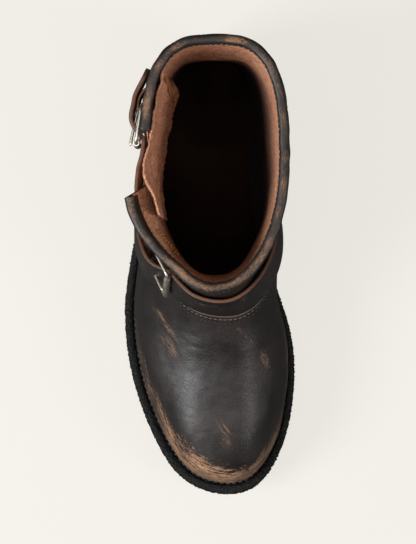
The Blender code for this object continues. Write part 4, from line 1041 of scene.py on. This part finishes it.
top_turns = np.linspace(0.60, 0.98, 400)
top_run = running_length(skin(top_turns, level_of(TOP_STRAP_HEIGHT)))
top_run -= np.interp(SLIT_COLUMN, top_turns, top_run)


def top_place(along, across, out):
    """A point of the top strap's line, which lies level round the shaft and follows the flap's flare."""
    t = np.interp(along, top_run, top_turns)
    level = level_of(TOP_STRAP_HEIGHT + np.asarray(across))
    lifted = flare(np.maximum(t, SLIT_COLUMN + 0.001), level) * ease((t - SLIT_COLUMN) / 0.04 + 1)
    return skin(t, level, out + lifted)


def instep_level(t, across):
    """The level where the strap's slanted plane, moved by across, meets column t, found by halving."""
    t, across = np.broadcast_arrays(np.asarray(t, float), np.asarray(across, float))
    low, high = np.full(t.shape, 2.0), np.full(t.shape, 14.0)
    middle = base_point(0.0, level_of(INSTEP_STRAP_HEIGHT))
    for _ in range(24):
        level = (low + high) / 2
        off = base_point(t, level) - middle
        above = off[..., 1] * math.sin(INSTEP_SLOPE) + off[..., 2] * math.cos(INSTEP_SLOPE)
        below = above < across
        low, high = np.where(below, level, low), np.where(below, high, level)
    return (low + high) / 2


instep_turns = np.linspace(1.45, 0.55, 600)
instep_run = running_length(skin(instep_turns, instep_level(instep_turns, 0.0)))
instep_run -= np.interp(-1.0, -instep_turns, instep_run)


def instep_place(along, across, out):
    """A point of the instep strap's line, on a plane that slants down to the heel."""
    t = np.interp(along, instep_run, instep_turns)
    return skin(t, instep_level(t, across), out + VAMP_STEP)


def straightened(place, start, stop, side, reach=0.012):
    """The same place, but straight across from start to stop, where a roller or a bar holds it flat."""

    def moved(along, across, out):
        along, across, out = np.broadcast_arrays(*(np.asarray(v, float) for v in (along, across, out)))
        flat = place(along, 0.0 * across, out) + across[..., None] * side
        share = ease(np.maximum(np.maximum(start - along, along - stop), 0.0) / reach)
        return flat + (place(along, across, out) - flat) * share[..., None]

    return moved


STRAP_SIDE = ((0.8, 1.0, 0.0), (0.95, 0.98, 0.0), (0.985, 0.80, 0.5), (1.0, 0.35, 1.0), (1.0, -0.45, 1.0))
STRAP_SECTION = [(-across, up, cut) for across, up, cut in STRAP_SIDE[::-1]]
STRAP_SECTION += [(across, 1.0, 0.0) for across in (-0.6, -0.3, 0.0, 0.3, 0.6)] + list(STRAP_SIDE)
STRAP_SECTION += [(0.97, -0.9, 0.8)] + [(across, -1.0, 1.2) for across in (0.6, 0.0, -0.6)]
STRAP_SECTION += [(-0.97, -0.9, 0.8)]
CROWN = 0.0002


def strap_piece(name, path, width, thickness, place, cad, pointed=False):
    """A strap along a path of (along, out): its section is a crowned bar whose corners are rounded."""
    curve = spline(path)(np.linspace(0, len(path) - 1, 600))
    run = running_length(curve)
    fine = np.linspace(0, run[-1], max(40, int(run[-1] / 0.0008)))
    path = np.stack([np.interp(fine, run, curve[:, k]) for k in range(2)], axis=-1)
    ahead = np.gradient(path, axis=0)
    ahead /= np.linalg.norm(ahead, axis=1, keepdims=True)
    side = np.stack([-ahead[:, 1], ahead[:, 0]], axis=1)
    if np.mean(path[1:, 0] - path[:-1, 0]) < 0:
        side = -side
    half = width / 2 * np.ones(len(path))
    if pointed:
        away = fine[-1] - fine
        half *= np.sqrt(np.clip(1 - (1 - np.clip(away / (0.35 * width), 0.02, 1)) ** 2, 0.02, 1))
    rows = []
    for across, up, _ in STRAP_SECTION:
        moved = path + side * (up * thickness / 2 + CROWN * (up > 0) * (1 - across**2))
        rows.append(place(moved[:, 0], across * half, moved[:, 1]))
    points = np.stack(rows, axis=1)
    raw = np.tile([cut for *_, cut in STRAP_SECTION], (len(path), 1))
    count = len(STRAP_SECTION)
    grain = np.stack(np.broadcast_arrays(fine[:, None] * 170, np.arange(count) * 2.2, 0.0), axis=-1)
    quads = np.concatenate([grid_quads(len(path), count, round_columns=True), end_fans(len(path), count)])
    rub = np.clip(0.15 + 0.11 * waves(points, 21, 0.012), 0, 0.36)
    masks = {"rub": rub * (1 - raw), "raw": raw * 0.5}
    piece = lay_mesh(name, points, quads, strap_leather, masks=masks, grain=grain, sharp=50.0)
    flip_if_inside_out(piece)
    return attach(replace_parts(piece, cad), "root")


def flip_if_inside_out(piece):
    """Turns every face over where the closed mesh's signed volume is negative."""
    mesh = piece.data
    mesh.calc_loop_triangles()
    points = np.zeros(len(mesh.vertices) * 3)
    mesh.vertices.foreach_get("co", points)
    corners = np.zeros(len(mesh.loop_triangles) * 3, np.int32)
    mesh.loop_triangles.foreach_get("vertices", corners)
    a, b, c = np.moveaxis(points.reshape(-1, 3)[corners.reshape(-1, 3)], 1, 0)
    if np.einsum("ij,ij->i", a, np.cross(b, c)).sum() < 0:
        mesh.flip_normals()


# The buckles: a rounded frame of nickel-plated wire, a turned roller on its front bar, and a prong looped
# round its heel bar that rests on the roller. The plate is dull, its tone and shine varying in patches of
# tarnish, with fine scratches in its bump.
nickel, tree, shader = new_material("nickel")
place = object_place(tree)
tarnish, scratches = noise(tree, place, 260.0, 6.0, 0.65), noise(tree, place, 1500.0, 3.0)
shade = blend(tree, scaled(tree, tarnish, 0.35, 0.65), linear(226, 220, 208), linear(176, 166, 150))
tree.links.new(scaled(tree, tarnish, 0.3, 0.7, 0.30, 0.50), shader.inputs["Roughness"])
dress_shader(tree, shader, shade, {"Metallic": 1.0}, (scratches, 0.12, 0.0001))


def wire(name, path, radius, cad, frame_axes, closed=False, sides=16):
    """A round wire: a circle square to the path at each point, narrowed to nothing at open ends."""
    path = np.asarray(path, float)
    ahead = np.roll(path, -1, 0) - np.roll(path, 1, 0) if closed else np.gradient(path, axis=0)
    ahead /= np.linalg.norm(ahead, axis=1, keepdims=True)
    beside = np.tile([0.0, 0.0, 1.0] if closed else [0.0, 1.0, 0.0], (len(path), 1))
    up = np.cross(ahead, beside)
    turn = np.linspace(0, 2 * np.pi, sides, endpoint=False)
    size = np.full(len(path), radius)
    if not closed:
        path = np.concatenate([path[:1], path[:1], path, path[-1:], path[-1:]])
        ends = (0, 0, *range(len(ahead)), -1, -1)
        ahead, beside, up = (directions[list(ends)] for directions in (ahead, beside, up))
        path[0] -= ahead[0] * radius * 0.4
        path[1] -= ahead[0] * radius * 0.3
        path[-1] += ahead[-1] * radius * 0.4
        path[-2] += ahead[-1] * radius * 0.3
        size = np.concatenate([[radius * 0.02, radius * 0.6], size, [radius * 0.6, radius * 0.02]])
    points = path[:, None] + size[:, None, None] * (
        beside[:, None] * np.cos(turn)[None, :, None] + up[:, None] * np.sin(turn)[None, :, None]
    )
    origin, axes = frame_axes
    quads = grid_quads(len(path), sides, True, closed)
    piece = lay_mesh(name, origin + points @ axes, quads, nickel, sharp=80.0)
    flip_if_inside_out(piece)
    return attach(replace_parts(piece, cad), "root")


def buckle(prefix, place, front, rear, roller_out, bar_out, width):
    """Frame, roller and prong in the axes of the two bars: X to the roller, Y along it, Z outwards."""
    a, b = place(front, 0.0, roller_out), place(rear, 0.0, bar_out)
    middle = (front + rear) / 2
    length = float(np.linalg.norm(a - b))
    x = (a - b) / length
    z = np.cross(x, place(middle, 0.004, 0.004) - place(middle, -0.004, 0.004))
    z /= np.linalg.norm(z)
    y = np.cross(z, x)
    axes, origin = np.stack([x, y, z]), (a + b) / 2
    inside, corner = width + 0.003, 0.003
    angles = np.radians(np.linspace(0, 90, 10))
    path = []
    for cx, cy, start in ((1, 1, 0), (-1, 1, 90), (-1, -1, 180), (1, -1, 270)):
        turn = angles + math.radians(start)
        corner_x = cx * (length / 2 - corner) + corner * np.cos(turn)
        corner_y = cy * (inside / 2 + BAR - corner) + corner * np.sin(turn)
        path.append(np.stack([corner_x, corner_y, 0 * turn], axis=-1))
    path, spot = np.concatenate(path), (origin, axes)
    wire(f"{prefix}_frame_wire", path, BAR, f"{prefix}_buckle_frame", spot, closed=True)
    half = inside / 2 + BAR - corner
    profile = [(ROLLER - 0.0003, half), (ROLLER, half - 0.0004), (ROLLER, 0.3 * half), (ROLLER * 1.02, 0)]
    profile += [(ROLLER, -0.3 * half), (ROLLER, 0.0004 - half), (ROLLER - 0.0003, -half)]
    radius, beside = np.array(profile + [(0.0013, -half), (0.0013, half)]).T
    turn = np.linspace(0, 2 * np.pi, 40, endpoint=False)[:, None]
    around = np.stack([length / 2 + radius * np.cos(turn), beside + 0 * turn, radius * np.sin(turn)], -1)
    quads = grid_quads(*around.shape[:2], True, True)
    roller = lay_mesh(f"{prefix}_roller", origin + around @ axes, quads, nickel, sharp=50.0)
    flip_if_inside_out(roller)
    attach(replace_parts(roller, f"{prefix}_buckle_roller"), "root")
    loop, bar, rest = BAR + GAP + PRONG, -length / 2, ROLLER + GAP + PRONG
    turns = np.radians((-60, -100, -140, 180, 140, 100))
    knots = [(bar + loop * math.cos(a), 0.0, loop * math.sin(a)) for a in turns]
    knots += [(bar + 0.5 * length, 0.0, (loop + rest) / 2 + 0.0002)]
    knots += [(length / 2 - 0.5 * ROLLER, 0.0, rest + 0.0002), (length / 2 + 0.3 * ROLLER, 0.0, rest)]
    tongue = spline(knots)(np.linspace(0, len(knots) - 1, 60))
    wire(f"{prefix}_prong", tongue, PRONG * 0.9, f"{prefix}_buckle_prong", spot)
    return y


over = SEAT + STRAP / 2
roller_out = SEAT + STRAP + GAP + ROLLER + 0.0002
bar_out = SEAT + CHAPE + GAP + BAR + 0.0003
crest = bar_out + BAR + GAP + CHAPE + 0.0002 + GAP + STRAP / 2 + 0.0004
lie = SEAT + 2 * CHAPE + 0.0012 + STRAP / 2


def chape_path(bar, anchor, toward):
    """From its stitched end under the bar, round it, and back on top."""
    radius, seat, start = BAR + GAP + CHAPE / 2 + 0.0002, SEAT + CHAPE / 2, bar - toward * 0.010
    lower = [(along, seat) for along in np.linspace(anchor, start, 2 + int(abs(start - anchor) / 0.006))]
    lower.append((bar - toward * 0.004, bar_out - radius * 0.92))
    turns = np.radians(np.arange(-80, 91, 28))
    loop = [(bar + toward * radius * math.cos(a), bar_out + radius * math.sin(a)) for a in turns]
    upper = [(bar - toward * 0.005, bar_out + radius * 0.95), (bar - toward * 0.011, seat + CHAPE + 0.0006)]
    return np.array(lower + loop + upper)


def over_buckle(front, rear, toward, rise):
    """A strap's way over the roller, over the folded chape and down behind it."""
    steps = [(front, 0.004, over + 0.0006), (front, rise, crest), (rear, 0.0, crest + 0.0002)]
    steps += [(rear, 0.006, crest - 0.0002), (rear, 0.015, lie + 0.0004), (rear, 0.022, lie)]
    return [(start + toward * step, out) for start, step, out in steps]


front, rear = TOP_ROLLER, TOP_ROLLER - TOP_LENGTH
side = buckle("top", top_place, front, rear, roller_out, bar_out, TOP_WIDTH)
held = straightened(top_place, rear - 0.004, front + 0.004, side)
path = [(0.050, over), (0.034, over + 0.0006), (0.018, over + 0.0028), (0.004, over + 0.0012)]
path = np.array(path + [(front + 0.003, over)] + over_buckle(front, rear, -1, 0.012))
strap_piece("top_strap_leather", path, TOP_WIDTH, STRAP, held, "top_strap", pointed=True)
path = chape_path(rear, rear - 0.026, 1)
strap_piece("top_chape_leather", path, TOP_WIDTH * 0.8, CHAPE, held, "top_chape")
front, rear = INSTEP_ROLLER, INSTEP_ROLLER + INSTEP_LENGTH
side = buckle("instep", instep_place, front, rear, roller_out, bar_out, INSTEP_WIDTH)
held = straightened(instep_place, front - 0.004, rear + 0.004, side)
low = over - VAMP_STEP / 2
path = [(-0.100, over), (-0.070, over), (-0.045, over), (-0.022, low), (-0.004, low), (0.014, low)]
path = np.array(path + [(front - 0.003, over)] + over_buckle(front, rear, 1, 0.014))
strap_piece("instep_strap_leather", path, INSTEP_WIDTH, STRAP, held, "instep_strap", pointed=True)
path = chape_path(rear, rear + 0.046, -1)
strap_piece("instep_chape_leather", path, INSTEP_WIDTH * 0.8, CHAPE, held, "instep_chape")

ENDS = (("instep_end", instep_place, -0.0975, 0.0105), ("top_end", top_place, 0.0475, 0.0080))
for title, place, end, half in ENDS:
    inward = 0.011 if end < 0 else -0.011
    along = end + inward * np.concatenate([np.linspace(1, 0, 20), np.zeros(30), np.linspace(0, 1, 20)])
    across = np.concatenate([np.full(20, -half), np.linspace(-half, half, 30), np.full(20, half)])
    points = place(along, across, over + STRAP / 2 + 0.0003)
    facing = points - place(along, across, over)
    stitch_row(f"{title}_stitches", points, facing, black_thread, slot="strap_leather")

low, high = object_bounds()
